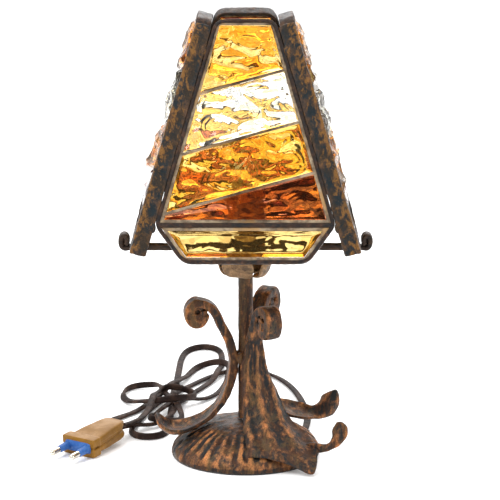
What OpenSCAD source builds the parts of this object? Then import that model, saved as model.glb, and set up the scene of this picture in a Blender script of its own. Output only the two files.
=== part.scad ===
// Forged-iron table lamp with a loose four-sided lantern shade of thick coloured glass slabs.
// Millimetres, +Z up, origin on the table under the middle of the base. The shade's front faces -Y.

/* [Base] */
// Radius of the dome's rim
base_r = 57; // [45:1:75]
// Height of the dome's flat top, where the stem stands
dome_h = 28; // [20:1:40]
// Thickness of the dome's sheet
dome_wall = 2; // [1.2:0.1:3]
// Upright height of the dome's rim
rim_h = 2.6; // [1.5:0.1:5]
// Radius of the dome's flat top
land_r = 9; // [8:0.5:14]
// Thickness of the felt ring under the rim
pad_t = 1; // [0.5:0.1:2]
// Width of the felt ring
pad_w = 6; // [3:0.5:12]

/* [Stem] */
// Outer diameter of the stem
stem_d = 11.6; // [11:0.2:16]
// Height of the middle of the cross rod above the table
rod_z = 163.8; // [140:0.2:220]
// Outer diameter of the threaded tube in the stem
tube_d = 10; // [9:0.1:10.4]
// Bore of the threaded tube
tube_bore = 7; // [6.6:0.1:8]
// Radial clearance round the threaded tube
tube_gap = 0.2; // [0.1:0.05:0.4]
// Size of the nut under the dome, across its flats
nut_flats = 14; // [13:0.5:19]
// Height of the nut
nut_h = 6; // [3:0.5:8]
// Radius of the washer under the dome
washer_r = 8; // [7.5:0.5:12]
// Thickness of the washer
washer_t = 1.5; // [1:0.1:3]

/* [Stalks] */
// Distance of a scroll's middle from the lamp's axis
scroll_r = 41; // [36:1:48]
// Height of a scroll's middle
scroll_z = 113; // [100:1:125]
// Outer radius of a scroll
scroll_out = 10; // [8.4:0.1:12]
// Thickness of the forged bar along a stalk
bar_t = 7; // [4:0.2:8]
// Width of the forged bar along a stalk
bar_w = 13; // [8:0.5:16]
// Thickness of the leaves
leaf_t = 2.6; // [2:0.1:4]
// Height of the brazed joint between the stalks and the stem
weld_z = 77; // [65:1:90]
// Turn of the left stalk about the stem, from straight ahead towards the right
left_turn = -82; // [-95:1:-70]
// Turn of the front stalk
front_turn = 28; // [20:1:36]
// Turn of the back stalk
back_turn = 152; // [140:1:160]

/* [Cup] */
// Radius of the cup at the petals' tips
cup_r = 23; // [18:0.5:28]
// Height of the cup
cup_h = 19; // [14:0.5:20]
// Thickness of the cup's sheet
cup_wall = 1.4; // [1:0.1:2.4]
// Turn of the cup about the stem
cup_turn = -20; // [-45:1:45]

/* [Cross rod] */
// Diameter of the rod
rod_d = 5.6; // [4:0.2:8]
// Distance from the axis to the outside of the rod's curled ends
rod_reach = 97; // [92:0.5:130]
// Height of the curls above the middle of the rod
curl_h = 13; // [9:0.5:16]
// Width of the curls
curl_w = 13; // [8:0.5:20]
// Length of the curls along the rod
curl_len = 10.4; // [9:0.2:11]
// Thickness of the bar that is rolled into the curls
curl_t = 2.6; // [2:0.1:3.5]
// Diameter of the flattened eye in the middle of the rod
eye_d = 22; // [18:0.5:30]
// Thickness of the eye
eye_t = 4; // [3:0.2:6]

/* [Shade] */
// Half the shade's side at its widest line, outside the posts
side_half = 77.6; // [70:0.2:84]
// Half the shade's side at its top
top_half = 35; // [32:0.2:42]
// Height from the widest line to the top of the panel frames
panel_rise = 143; // [120:1:190]
// Height from the rod's middle to the widest line
wide_rise = 35.2; // [30:0.2:50]
// Half the length of a panel frame's bottom bar
bottom_half = 45.5; // [38:0.5:56]
// Thickness of the bent strip of the panel frames
strip_t = 3; // [2:0.2:4]
// Depth of the bent strip
strip_depth = 11; // [8:0.2:12]
// Thickness of the bar between the main glass and the skirt
bar_line = 3.6; // [2.4:0.2:6]
// Width of each leg of the corner posts
post_w = 12; // [12:0.2:14]
// Thickness of the corner posts
post_t = 3; // [2:0.2:4]
// Length of the posts above the widest line, along the slope
post_up = 153; // [130:1:210]
// Length of the posts below the widest line, along the slope
post_down = 23; // [15:1:30]
// Gap between the rod and the shade that rests on it
seat_gap = 0.2; // [0.1:0.05:0.5]

/* [Glass] */
// Lean of the lines between the coloured stripes
stripe_lean = 15.5; // [0:0.5:20]
// Width of the putty line between two stripes
putty_line = 2; // [1:0.1:3]
// Width of the putty along the frame
putty_edge = 2.2; // [1:0.1:4]
// How far the glass stands out in front of the posts, at the middle of a panel
glass_proud = 5; // [2:0.5:8]
// Depth of the back of the glass behind the posts' face
glass_back = 9.5; // [6:0.5:10]
// Radius of the bulging face of the glass
glass_bulge = 300; // [240:10:600]
// How far the face of the skirt's glass stays behind the posts' face
skirt_in = 0.6; // [0.2:0.1:3]

/* [Lampholder and bulb] */
// Outer diameter of the lampholder
holder_d = 28; // [26:0.5:34]
// Height of the lampholder's lower cap
holder_cap_h = 13; // [10:0.5:18]
// Height of the lampholder's shell
holder_shell_h = 34; // [30:0.5:45]
// Wall of the lampholder
holder_wall = 1.6; // [1.2:0.1:2.4]
// Diameter of the bulb's screw cap
cap_d = 13.8; // [13.6:0.1:14]
// Length of the bulb's screw cap
cap_len = 22; // [20:0.5:24]
// Clearance round the bulb's cap in the screw shell
cap_gap = 0.35; // [0.3:0.05:0.6]
// Diameter of the bulb
bulb_d = 35; // [30:0.5:40]
// Length of the bulb's glass
bulb_len = 76; // [60:1:80]
// Thickness of the bulb's glass
bulb_wall = 0.8; // [0.6:0.1:1.2]

/* [Plug] */
// Length of the plug's body
plug_len = 50; // [46:1:60]
// Width of the plug's flange
plug_flange_w = 31; // [30:0.5:36]
// Width of the plug's grip at the cord
plug_tail_w = 17; // [14:0.5:22]
// Thickness of the plug
plug_t = 15; // [14:0.2:18]
// Diameter of the plug's pins
pin_d = 4; // [3.9:0.05:4.1]
// Length of the pins in front of the plug
pin_len = 19; // [18:0.5:20]
// Diameter of the pins' thinner shanks inside the plug
shank_d = 3; // [2.4:0.1:3.4]
// Distance between the pins
pin_pitch = 19; // [18.5:0.1:19.5]

/* [Hidden] */
sides = ["front", "right", "back", "left"];
stripes = ["amber", "clear", "mixed", "red", "skirt"];
// Where each line between two stripes crosses the middle of a panel, up the slope from the widest line
stripe_rows = [103.5, 62.5, 22.7];
stripe_edge = 400;

$fn = 64;
eps = 0.01;

// Stem and the pieces that are stacked on it
rim_top = pad_t + rim_h;
rod_low = rod_z - rod_d / 2;
eye_low = rod_z - eye_t / 2;
eye_top = rod_z + eye_t / 2;
cup_top = rod_low - 0.6;
cup_low = cup_top - cup_h;
tube_r = tube_d / 2 + tube_gap;
nut_top = dome_h - dome_wall - washer_t;
tube_low = nut_top - nut_h - 3;
tube_top = eye_top + holder_cap_h - 3;

// Shade: the lean of a panel, and of the corner line within the panel
wide_z = rod_z + wide_rise;
lean = atan((side_half - top_half) / panel_rise);
slope_len = panel_rise / cos(lean);
corner_lean = atan((side_half - top_half) / slope_len);
bar_top = 0;
bar_low = bar_top - bar_line;
// The frame's inner lower corner is what sits on the rod
frame_foot = (rod_z + rod_d / 2 + seat_gap - wide_z + strip_depth * sin(lean)) / cos(lean);

// Lampholder and bulb
shell_low = eye_top + holder_cap_h;
shell_top = shell_low + holder_shell_h;
core_top = shell_low + 8;
contact_h = 2;
cap_low = core_top + contact_h + 0.4;
cap_top = cap_low + cap_len;
screw_r = cap_d / 2 + cap_gap;

// Cord: flat twin flex, with its route from the bush in the rim to the hank, chosen by hand
cord_w = 5.6;
cord_t = 3;
// The bush sits in the rim, turned this far from the right, and stands out of it a little
bush_turn = 36.1944;
bush_proud = 3.34;
bush_x = base_r * cos(bush_turn);
bush_out = base_r * sin(bush_turn) + bush_proud;
bush_len = 8;
bush_w = 9;
bush_h = 6;
lead_route = [
    [46, 37, 3.2], [46, 44, 2.6], [47, 54, 1.8], [49, 68, 1.7], [50, 84, 1.7], [50, 102, 1.7],
    [48, 120, 1.7], [46, 138, 1.7], [43, 156, 1.7], [39, 174, 1.7], [34, 190, 1.7], [27, 206, 1.7],
    [18, 218, 1.7], [6, 226, 1.7], [-8, 227, 1.7], [-20, 220, 1.7], [-28, 208, 1.7], [-34, 196, 1.7]
];
inner_route = [
    [46, 37, 3.2], [46, 29, 3.2], [42, 20, 3.6], [32, 10, 4.6], [20, 4, 6], [8, 1, 9],
    [1.5, 0, 14], [0, 0, 20], [0, 0, 60], [0, 0, 100], [0, 0, 140], [0, 0, tube_top - 2]
];
hank_near = [-80, 62];
hank_far = [-42, 268];
hank_r = 36;
hank_h = 17;
// The plug lies on its flange's lower edge, with its tail raised by the cord under it
plug_turn = 235;
plug_tilt = 5;
plug_pos = hank_near + (hank_r - 1) * [cos(plug_turn), sin(plug_turn)];
insert_t = 2.5;
plug_gap = 0.1;
pin_start = plug_len - 8;

// ---- Functions for the swept pieces ----

function unit(v) = v / norm(v);
function curve(a, b, c, d, t) =
    0.5 * (2 * b + (c - a) * t + (2 * a - 5 * b + 4 * c - d) * t * t + (3 * b - a - 3 * c + d) * t * t * t);
function smooth(p, n) = concat(
    [for (i = [0:len(p) - 2]) for (k = [0:n - 1])
        curve(p[max(i - 1, 0)], p[i], p[i + 1], p[min(i + 2, len(p) - 1)], k / n)],
    [p[len(p) - 1]]
);
function place(q) = [q[0], q[1], q[2]];
function heading(p, i) = unit(place(p[min(i + 1, len(p) - 1)]) - place(p[max(i - 1, 0)]));

// One ring of a swept bar: w wide along across, t thick, with its eight corners eased
function ring(at, along, across, w, t) =
    let (b = unit(across - (across * along) * along), n = cross(along, b), c = 0.28 * min(w, t))
    [for (q = [[1, 1], [-1, 1], [-1, -1], [1, -1]]) for (side = (q[0] * q[1] > 0) ? [0, 1] : [1, 0])
        at + q[0] * (w / 2 - (side == 1 ? c : 0)) * b + q[1] * (t / 2 - (side == 0 ? c : 0)) * n];

// A closed skin over the rings, each with 8 points
module skin(rings) {
    last = len(rings) - 1;
    points = [for (r = rings) for (p = r) p];
    walls = [for (i = [0:last - 1]) for (k = [0:7]) let (a = 8 * i + k, b = 8 * i + (k + 1) % 8)
        each [[a, b, a + 8], [b, b + 8, a + 8]]];
    ends = [for (k = [1:6]) each [[0, k + 1, k], [8 * last, 8 * last + k, 8 * last + k + 1]]];
    polyhedron(points = points, faces = [for (f = concat(walls, ends)) [f[0], f[2], f[1]]], convexity = 6);
}

// A flat flex along a route, lying on its wide side
module flex(route, n) {
    p = smooth(route, n);
    skin([for (i = [0:len(p) - 1])
        let (along = heading(p, i), across = abs(along[2]) > 0.9 ? [0, 1, 0] : cross([0, 0, 1], along))
        ring(p[i], along, across, cord_w, cord_t)]);
}

// ---- Base and stem ----

// The dome's outer line from the rim in to the flat top
rim_run = base_r - land_r;
dome_rise = dome_h - rim_top;
function dome_up(a) = rim_top + dome_rise * sin(a) * (0.72 + 0.28 * sin(a));
function dome_line(drop) = [for (k = [0:12]) let (a = 90 * k / 12)
    [land_r + rim_run * cos(a) * (0.86 + 0.14 * cos(a)) - (k == 12 ? 0 : drop * cos(a)),
     dome_up(a) - drop * (0.3 + 0.7 * sin(a))]];

// A leaf's row over the dome: how far out and aside it is, as shares of the way from the flat top
// to the rim, its height over the dome as a share of the dome's rise, its width and its thickness
function over_dome(out, aside, rise, w, t) =
    let (
        x = land_r + out * rim_run,
        y = aside * rim_run,
        share = (norm([x, y]) - land_r) / rim_run,
        a = share < 1 ? acos((sqrt(0.7396 + 0.56 * share) - 0.86) / 0.28) : 0
    )
    [x, y, dome_up(a) + rise * dome_rise, w, t];

module base_pad() color("black")
    difference() {
        cylinder(h = pad_t, r = base_r - 0.6);
        translate([0, 0, -eps]) cylinder(h = pad_t + 2 * eps, r = base_r - 0.6 - pad_w);
    }

module base_dome() color("saddlebrown")
    difference() {
        rotate_extrude() polygon(concat([[0, pad_t], [base_r, pad_t]], dome_line(0), [[0, dome_h]]));
        rotate_extrude() polygon(concat(
            [[0, pad_t - 1], [base_r - dome_wall, pad_t - 1]],
            dome_line(dome_wall),
            [[0, dome_h - dome_wall]]
        ));
        cylinder(h = dome_h + 1, r = tube_r);
        translate([bush_x - bush_w / 2, bush_out - bush_len - 3, pad_t - 1])
            cube([bush_w, base_r, bush_h + 1]);
    }

module base_washer() color("gray")
    translate([0, 0, nut_top]) difference() {
        cylinder(h = washer_t, r = washer_r);
        translate([0, 0, -1]) cylinder(h = washer_t + 2, r = tube_r);
    }

module base_nut() color("gray")
    translate([0, 0, nut_top - nut_h]) difference() {
        cylinder(h = nut_h, d = nut_flats / cos(30), $fn = 6);
        translate([0, 0, -1]) cylinder(h = nut_h + 2, r = tube_d / 2 + 0.05, $fn = 64);
    }

module threaded_tube() color("silver")
    translate([0, 0, tube_low]) difference() {
        cylinder(h = tube_top - tube_low, d = tube_d);
        translate([0, 0, -1]) cylinder(h = tube_top - tube_low + 2, d = tube_bore);
    }

module stem_tube() color("sienna")
    translate([0, 0, dome_h]) difference() {
        cylinder(h = eye_low - dome_h, d = stem_d);
        translate([0, 0, -1]) cylinder(h = eye_low - dome_h + 2, r = tube_r);
    }

// ---- Stalks: a scroll at the top, a bar that touches the stem, and a leaf at the foot ----

// Rows of a stalk are [distance from the axis, sideways, height, width, thickness]
stem_touch = stem_d / 2 + bar_t / 2 + 0.1;
roll_r = scroll_out - bar_t / 2;
// The curled end, from its blunt tip round the outside to the top, where it runs into the bar
scroll_rows = [for (a = [-140:20:120])
    let (share = min(1, (a + 140) / 200), r = roll_r - bar_t * 0.15 * (1 - share))
    [scroll_r + r * cos(a), 0, scroll_z + r * sin(a), bar_w, bar_t * (0.62 + 0.38 * share)]];
shank_rows = [
    [scroll_r - 14.5, 0, scroll_z + 1, bar_w, bar_t],
    [19.5, 0, (scroll_z + weld_z) / 2 + 9, bar_w, bar_t],
    [13.2, 0, (scroll_z + weld_z) / 2 - 3, bar_w, bar_t],
    [stem_touch, 0, weld_z, bar_w, bar_t]
];
left_leaf = [
    [10.8, 0, weld_z - 14, bar_w, bar_t], [13.6, 0, dome_h + 25, 13, 6], [19.5, 0, dome_h + 14, 15, 5],
    [28, 0, dome_h + 5.5, 19, 4], [40, 0, dome_h - 1, 26, leaf_t], [base_r - 5, 0, dome_h - 4, 29, leaf_t],
    [base_r + 5, 0, dome_h - 1, 24, leaf_t], [base_r + 11, 0, dome_h + 7, 10, leaf_t]
];
back_leaf = [
    [10.8, 0, weld_z - 14, bar_w, bar_t], [13.6, 0, dome_h + 25, 13, 6], [18, -3, dome_h + 15, 15, 5],
    [25, -8, dome_h + 7.5, 19, 4], [35, -16, dome_h + 1, 25, leaf_t], [45, -26, dome_h - 3, 26, leaf_t],
    [51, -39, dome_h - 1, 20, leaf_t], [53, -50, dome_h + 7, 9, leaf_t]
];
front_leaf = [
    [10.8, 0, weld_z - 14, 20, 6], [13.6, 1, dome_h + 24, 27, 4.6], [19, 2, dome_h + 14, 34, 3.6],
    over_dome(0.4167, 0.0833, 0.3348, 42, leaf_t),
    over_dome(0.6875, 0.1667, 0.2303, 48, leaf_t),
    over_dome(0.9375, 0.25, 0.2889, 42, leaf_t),
    over_dome(1.1458, 0.3125, 0.1475, 26, leaf_t),
    over_dome(1.3125, 0.3542, -0.0246, 6, leaf_t)
];
// The front leaf's side tip: a narrow neck that runs out to a curled paddle
front_paddle = [
    over_dome(0.6875, 0.5, 0.1975, 22, leaf_t),
    over_dome(0.75, 0.75, 0.4672, 9, leaf_t),
    over_dome(0.7708, 0.9583, 0.4262, 7, leaf_t),
    over_dome(0.75, 1.125, 0.5902, 11, leaf_t),
    over_dome(0.7083, 1.2292, 0.9590, 13, leaf_t),
    over_dome(0.6875, 1.2292, 1.2459, 6, leaf_t)
];

module stalk(rows, turn) {
    p = smooth(rows, 2);
    // The bar's width lies level, and turns with the leaf where that bends sideways
    rotate([0, 0, turn - 90]) skin([for (i = [0:len(p) - 1]) let (along = heading(p, i))
        ring(place(p[i]), along, [-along[1], abs(along[0]) + 0.02, 0], p[i][3], p[i][4])]);
}

module stalk_left() color("saddlebrown") stalk(concat(scroll_rows, shank_rows, left_leaf), left_turn);
module stalk_front() color("saddlebrown") {
    stalk(concat(scroll_rows, shank_rows, front_leaf), front_turn);
    stalk(front_paddle, front_turn);
}

module stalk_back() color("saddlebrown") stalk(concat(scroll_rows, shank_rows, back_leaf), back_turn);

// Brazed lumps between neighbouring stalks and the stem
weld_turns = [
    (left_turn + front_turn) / 2, (front_turn + back_turn) / 2, (left_turn + back_turn + 360) / 2
];

module stalk_welds() color("peru")
    for (turn = weld_turns)
        rotate([0, 0, turn - 90]) intersection() {
            translate([stem_d / 2 + 0.4, 0, weld_z]) sphere(r = 3.6);
            difference() {
                translate([stem_d / 2 + 0.4, 0, weld_z]) cube([8, 7, 6.6], center = true);
                cylinder(h = 2 * weld_z, d = stem_d);
            }
        }

// ---- Cup: four petals round the top of the stem ----

module cup_wall_line()
    polygon(concat(
        [for (k = [0:8]) let (a = 90 * k / 8)
            [stem_d / 2 + (cup_r - stem_d / 2) * sin(a), cup_low + cup_h * (1 - cos(a))]],
        [for (k = [8:-1:0]) let (a = 90 * k / 8)
            [stem_d / 2 + (cup_r - cup_wall - stem_d / 2) * sin(a),
             cup_low + cup_wall + (cup_h - cup_wall) * (1 - cos(a))]]
    ));

module cup() color("saddlebrown")
    rotate([0, 0, cup_turn]) difference() {
        rotate_extrude() cup_wall_line();
        for (k = [0:3]) rotate([0, 0, 45 + 90 * k])
            linear_extrude(height = cup_top + 1)
                polygon([[stem_d / 2 + 4, 0], [cup_r + 2, -7], [cup_r + 2, 7]]);
    }

// ---- Cross rod: carries the shade, and is clamped between the stem and the lampholder ----

curl_r = (curl_h + rod_d / 2) / 2;
curl_x = rod_reach - curl_len / 2;

// The upright oval spiral of one rolled end, in the plane of the rod
function curl_round(half, a) = half - curl_t / 2 - (half - curl_t) * 0.62 * (a + 90) / 400;
function curl_at(a, side) =
    [curl_x + (curl_round(curl_len / 2, a) + side * curl_t / 2) * cos(a),
     curl_r - rod_d / 2 + (curl_round(curl_r, a) + side * curl_t / 2) * sin(a)];

module cross_rod() color("dimgray") translate([0, 0, rod_z]) {
    difference() {
        union() {
            translate([-curl_x, 0, 0]) rotate([0, 90, 0]) cylinder(h = 2 * curl_x, d = rod_d);
            translate([0, 0, -eye_t / 2]) cylinder(h = eye_t, d = eye_d);
        }
        translate([0, 0, -rod_d]) cylinder(h = 2 * rod_d, r = tube_r);
        translate([0, 0, eye_t / 2]) cylinder(h = rod_d, d = eye_d + 2);
        translate([0, 0, -eye_t / 2 - rod_d]) cylinder(h = rod_d, d = eye_d + 2);
    }
    for (flip = [0, 1]) mirror([flip, 0, 0]) translate([0, curl_w / 2, 0]) rotate([90, 0, 0])
        linear_extrude(height = curl_w)
            polygon(concat(
                [for (a = [-90:20:250]) curl_at(a, 1)],
                [for (a = [250:-20:-90]) curl_at(a, -1)]
            ));
}

// ---- Lampholder ----

module holder_cap() color("saddlebrown")
    translate([0, 0, eye_top]) difference() {
        union() {
            cylinder(h = 4, d = holder_d - 10);
            translate([0, 0, 4]) cylinder(h = holder_cap_h - 4, d1 = holder_d - 8, d2 = holder_d);
        }
        translate([0, 0, -1]) cylinder(h = holder_cap_h + 2, r = tube_d / 2 + 0.05);
        translate([0, 0, 6]) cylinder(h = holder_cap_h, d1 = tube_d + 4, d2 = holder_d - 4);
    }

module holder_shell() color("tan")
    translate([0, 0, shell_low]) difference() {
        cylinder(h = holder_shell_h, d = holder_d);
        translate([0, 0, -1]) cylinder(h = holder_shell_h + 2, d = holder_d - 2 * holder_wall);
    }

module holder_core() color("ivory")
    translate([0, 0, shell_low + 0.5]) difference() {
        cylinder(h = core_top - shell_low - 0.5, d = holder_d - 2 * holder_wall - 0.4);
        translate([7, 0, -1]) cylinder(h = 12, d = 3.2);
        translate([-7, 0, -1]) cylinder(h = 12, d = 3.2);
    }

module screw_shell() color("gold")
    translate([0, 0, core_top]) difference() {
        cylinder(h = shell_top - core_top - 1, r = screw_r + 0.7);
        translate([0, 0, -1]) cylinder(h = holder_shell_h, r = screw_r);
    }

module centre_contact() color("gold")
    translate([0, 0, core_top]) cylinder(h = contact_h, d1 = 7, d2 = 4);

// ---- Bulb: small-screw candle bulb ----

// Half the bulb's outer line, from the cap up to the tip; it is widest two fifths of the way up
neck_r = cap_d / 2 - 0.7;
function bulb_half(t) = (t < 0.4)
    ? neck_r + (bulb_d / 2 - neck_r) * pow(sin(90 * t / 0.4), 1.3)
    : bulb_d / 2 * pow(cos(90 * (t - 0.4) / 0.6), 0.8);
function bulb_line(in) = concat(
    [[neck_r - in, cap_top - 3]],
    [for (k = [0:15]) [max(0.3, bulb_half(k / 16) - in), cap_top + (bulb_len - in) * k / 16]],
    [[0, cap_top + bulb_len - in]]
);

module bulb_glass() color([0.95, 0.95, 0.9, 0.4])
    rotate_extrude() difference() {
        polygon(concat([[0, cap_top - 3]], bulb_line(0)));
        polygon(concat(
            [[0, cap_top - 3 - eps], [neck_r - bulb_wall, cap_top - 3 - eps]],
            bulb_line(bulb_wall)
        ));
    }

module bulb_cap() color("gold") {
    translate([0, 0, cap_low]) cylinder(h = 3, d1 = 8, d2 = cap_d - 1);
    translate([0, 0, cap_low + 3]) difference() {
        cylinder(h = cap_len - 3, d = cap_d);
        translate([0, 0, cap_len - 6 - 0.1]) cylinder(h = 4, d = cap_d - 1.2);
    }
}

module bulb_mount() color("lightgray") {
    translate([0, 0, cap_top - 3]) cylinder(h = 3, d = 9);
    translate([0, 0, cap_top]) cylinder(h = 16, d1 = 6, d2 = 3.4);
    for (x = [-1, 1]) translate([x * 1.2, 0, cap_top + 15.5]) rotate([0, x * 20, 0])
        cylinder(h = 17.7, d = 0.7);
}

module bulb_filament() color("silver")
    translate([0, 0, cap_top + 32.2]) rotate([90, 0, 0])
        rotate_extrude(angle = 180) translate([7, 0]) circle(d = 0.8, $fn = 16);

// ---- Shade ----

// Puts a drawing on side k: X runs to the right, Y up the slope from the widest line, Z outwards
module on_side(k)
    rotate([0, 0, 90 * k]) translate([0, -side_half, wide_z]) rotate([90 - lean, 0, 0]) children();

// Half width of a panel frame at s up the slope, set in by d
function frame_half(s, d) = side_half - s * tan(corner_lean) - (post_w + d) / cos(corner_lean);
function foot_half(s, d) =
    let (run = frame_half(bar_low / 2, 0) - bottom_half, drop = bar_low / 2 - frame_foot)
    bottom_half + (s - frame_foot) * run / drop - d * norm([run, drop]) / drop;

// The opening for the main glass, set in by d from the strip's outer faces
module main_opening(d, top_d, low) {
    top = slope_len - top_d;
    polygon([
        [-frame_half(low, d), low], [frame_half(low, d), low],
        [frame_half(top, d), top], [-frame_half(top, d), top]
    ]);
}

// The opening for the skirt's glass
module skirt_opening(d, top, low)
    polygon([
        [-foot_half(low, d), low], [foot_half(low, d), low],
        [foot_half(top, d), top], [-foot_half(top, d), top]
    ]);

module frame(k) color("dimgray")
    on_side(k) translate([0, 0, -strip_depth]) linear_extrude(height = strip_depth) difference() {
        mid = bar_low / 2;
        polygon([
            [-bottom_half, frame_foot], [bottom_half, frame_foot], [frame_half(mid, 0), mid],
            [frame_half(slope_len, 0), slope_len], [-frame_half(slope_len, 0), slope_len],
            [-frame_half(mid, 0), mid]
        ]);
        main_opening(strip_t, strip_t, bar_top);
        skirt_opening(strip_t, bar_low, frame_foot + strip_t);
    }

// One leg of a corner post, at the right end of a side
module post_leg()
    translate([side_half, 0, -post_t]) rotate([0, 0, corner_lean])
        translate([-post_w, -post_down, 0]) cube([post_w, post_down + post_up, post_t]);

// The angle bar on the corner between side k and the next
module post(k) color("darkolivegreen") {
    on_side(k) post_leg();
    on_side(k + 1) mirror([1, 0, 0]) post_leg();
}

// The stripe's band between two leaning lines
module band(low, high) {
    fall = stripe_edge * tan(stripe_lean);
    polygon([
        [-stripe_edge, low - fall], [stripe_edge, low + fall],
        [stripe_edge, high + fall], [-stripe_edge, high - fall]
    ]);
}

half_line = putty_line / 2 / cos(stripe_lean);
stripe_low = [
    stripe_rows[0] + half_line, stripe_rows[1] + half_line, stripe_rows[2] + half_line, -stripe_edge
];
stripe_high = [
    stripe_edge, stripe_rows[0] - half_line, stripe_rows[1] - half_line, stripe_rows[2] - half_line
];
glass_in = strip_t + putty_edge;

module glass_outline(row)
    if (row < 4) intersection() {
        main_opening(glass_in, glass_in, bar_top + putty_edge);
        band(stripe_low[row], stripe_high[row]);
    }
    else skirt_opening(glass_in, bar_low - putty_edge, frame_foot + glass_in);

glass_colours = ["gold", "whitesmoke", "orange", "firebrick", "khaki"];

module glass(k, row) color(glass_colours[row], 0.7)
    on_side(k)
        if (row < 4) intersection() {
            translate([0, 0, -glass_back]) linear_extrude(height = glass_back + glass_proud + 1)
                glass_outline(row);
            translate([0, -slope_len, glass_proud - glass_bulge]) rotate([-90, 0, 0])
                cylinder(h = 3 * slope_len, r = glass_bulge, $fn = 200);
        }
        else translate([0, 0, -glass_back]) linear_extrude(height = glass_back - skirt_in) glass_outline(row);

module putty(k) color("tan")
    on_side(k) translate([0, 0, 1 - glass_back]) linear_extrude(height = glass_back - 2.2) difference() {
        union() {
            main_opening(strip_t, strip_t, bar_top);
            skirt_opening(strip_t, bar_low, frame_foot + strip_t);
        }
        for (row = [0:4]) glass_outline(row);
    }

// ---- Cord and plug ----

module inner_lead() color("saddlebrown") flex(inner_route, 2);

module cord_bush() color("black")
    translate([bush_x - bush_w / 2, bush_out - bush_len, pad_t + 0.1]) difference() {
        cube([bush_w, bush_len, bush_h - 0.2]);
        translate([(bush_w - cord_w) / 2 - 0.2, -1, 0.4])
            cube([cord_w + 0.4, bush_len + 2, cord_t + 0.4]);
    }

module cord_lead() color("saddlebrown") flex(lead_route, 2);

module cord_hank() color("saddlebrown")
    linear_extrude(height = hank_h) {
        translate(hank_near) circle(r = hank_r);
        translate(hank_far) circle(r = hank_r);
        translate(hank_near) rotate(atan2(hank_far[1] - hank_near[1], hank_far[0] - hank_near[0]))
            translate([0, -hank_r]) square([norm(hank_far - hank_near), 2 * hank_r]);
    }

module at_plug()
    translate([plug_pos[0], plug_pos[1], 0]) rotate([0, 0, plug_turn])
        translate([plug_len, 0, 0]) rotate([0, plug_tilt, 0]) translate([-plug_len, 0, plug_gap]) children();

module plug_body() color("peru")
    at_plug() {
        linear_extrude(height = plug_t - 1)
            polygon([
                [0, -plug_tail_w / 2], [plug_len / 2, 3 - plug_flange_w / 2],
                [plug_len - 9, 2 - plug_flange_w / 2], [plug_len - 9, plug_flange_w / 2 - 2],
                [plug_len / 2, plug_flange_w / 2 - 3], [0, plug_tail_w / 2]
            ]);
        translate([plug_len - 9, -plug_flange_w / 2, 0]) cube([9, plug_flange_w, plug_t]);
    }

module plug_insert() color("royalblue")
    at_plug() translate([plug_len, -plug_flange_w / 2 + 1.5, 1.5]) difference() {
        cube([insert_t, plug_flange_w - 3, plug_t - 3]);
        for (y = [-1, 1]) translate([-1, plug_flange_w / 2 - 1.5 + y * pin_pitch / 2, plug_t / 2 - 1.5])
            rotate([0, 90, 0]) cylinder(h = insert_t + 2, d = shank_d + 0.1);
    }

module plug_pins() color("silver")
    at_plug() for (y = [-1, 1]) translate([pin_start, y * pin_pitch / 2, plug_t / 2]) rotate([0, 90, 0]) {
        cylinder(h = plug_len + insert_t - pin_start + eps, d = shank_d);
        translate([0, 0, plug_len + insert_t - pin_start]) cylinder(h = pin_len, d = pin_d);
    }

// ---- What is drawn ----

base_pad();
base_dome();
base_washer();
base_nut();
threaded_tube();
stem_tube();
stalk_left();
stalk_front();
stalk_back();
stalk_welds();
cup();
cross_rod();
holder_cap();
holder_shell();
holder_core();
screw_shell();
centre_contact();
bulb_glass();
bulb_cap();
bulb_mount();
bulb_filament();
for (k = [0:3]) frame(k);
post(0);  // post_front_right
post(1);  // post_back_right
post(2);  // post_back_left
post(3);  // post_front_left
for (k = [0:3]) for (row = [0:4])
    glass(k, row);
for (k = [0:3]) putty(k);
inner_lead();
cord_bush();
cord_lead();
cord_hank();
plug_body();
plug_insert();
plug_pins();
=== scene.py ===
import math

import bmesh
import bpy
import numpy as np
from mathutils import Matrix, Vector


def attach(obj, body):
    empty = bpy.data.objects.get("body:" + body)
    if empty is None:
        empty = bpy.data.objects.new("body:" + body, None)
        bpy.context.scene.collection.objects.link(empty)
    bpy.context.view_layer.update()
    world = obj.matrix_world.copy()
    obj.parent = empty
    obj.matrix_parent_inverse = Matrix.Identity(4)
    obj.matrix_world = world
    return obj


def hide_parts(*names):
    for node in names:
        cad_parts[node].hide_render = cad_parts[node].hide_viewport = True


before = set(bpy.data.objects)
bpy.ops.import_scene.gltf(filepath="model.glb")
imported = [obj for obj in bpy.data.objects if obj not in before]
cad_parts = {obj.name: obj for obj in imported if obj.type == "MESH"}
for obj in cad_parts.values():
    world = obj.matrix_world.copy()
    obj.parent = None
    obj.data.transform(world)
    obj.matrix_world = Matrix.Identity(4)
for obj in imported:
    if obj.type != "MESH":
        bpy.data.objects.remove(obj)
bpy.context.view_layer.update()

# ---- Camera ----
# A long lens stands in front of the lamp and a little above it.
# It looks along +Y and slightly down.
lens = bpy.data.cameras.new("camera")
lens.lens = 166.1
lens.sensor_width = 36
lens.clip_end = 60
camera = bpy.data.objects.new("camera", lens)
camera.location = (0.0034, -1.710, 0.549)
camera.rotation_euler = (math.radians(90 - 12.78), 0, 0)
bpy.context.scene.collection.objects.link(camera)
bpy.context.scene.camera = camera

# ---- Cord ----
# A flat twin flex, 5.6 by 3 mm, of limp brown plastic. It leaves the rim through the rubber bush,
# runs back along the table and lies behind the lamp in a loose bundle of loops, up to the plug.
cord_width, cord_thick = 5.6, 3.0
lead_points = [
    (46, 37), (46, 44), (47, 54), (49, 68), (50, 84), (50, 102), (48, 120), (46, 138), (43, 156),
    (39, 174), (34, 190), (27, 206), (18, 218), (6, 226), (-8, 226), (-20, 220), (-32, 207), (-43, 188),
]
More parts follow.
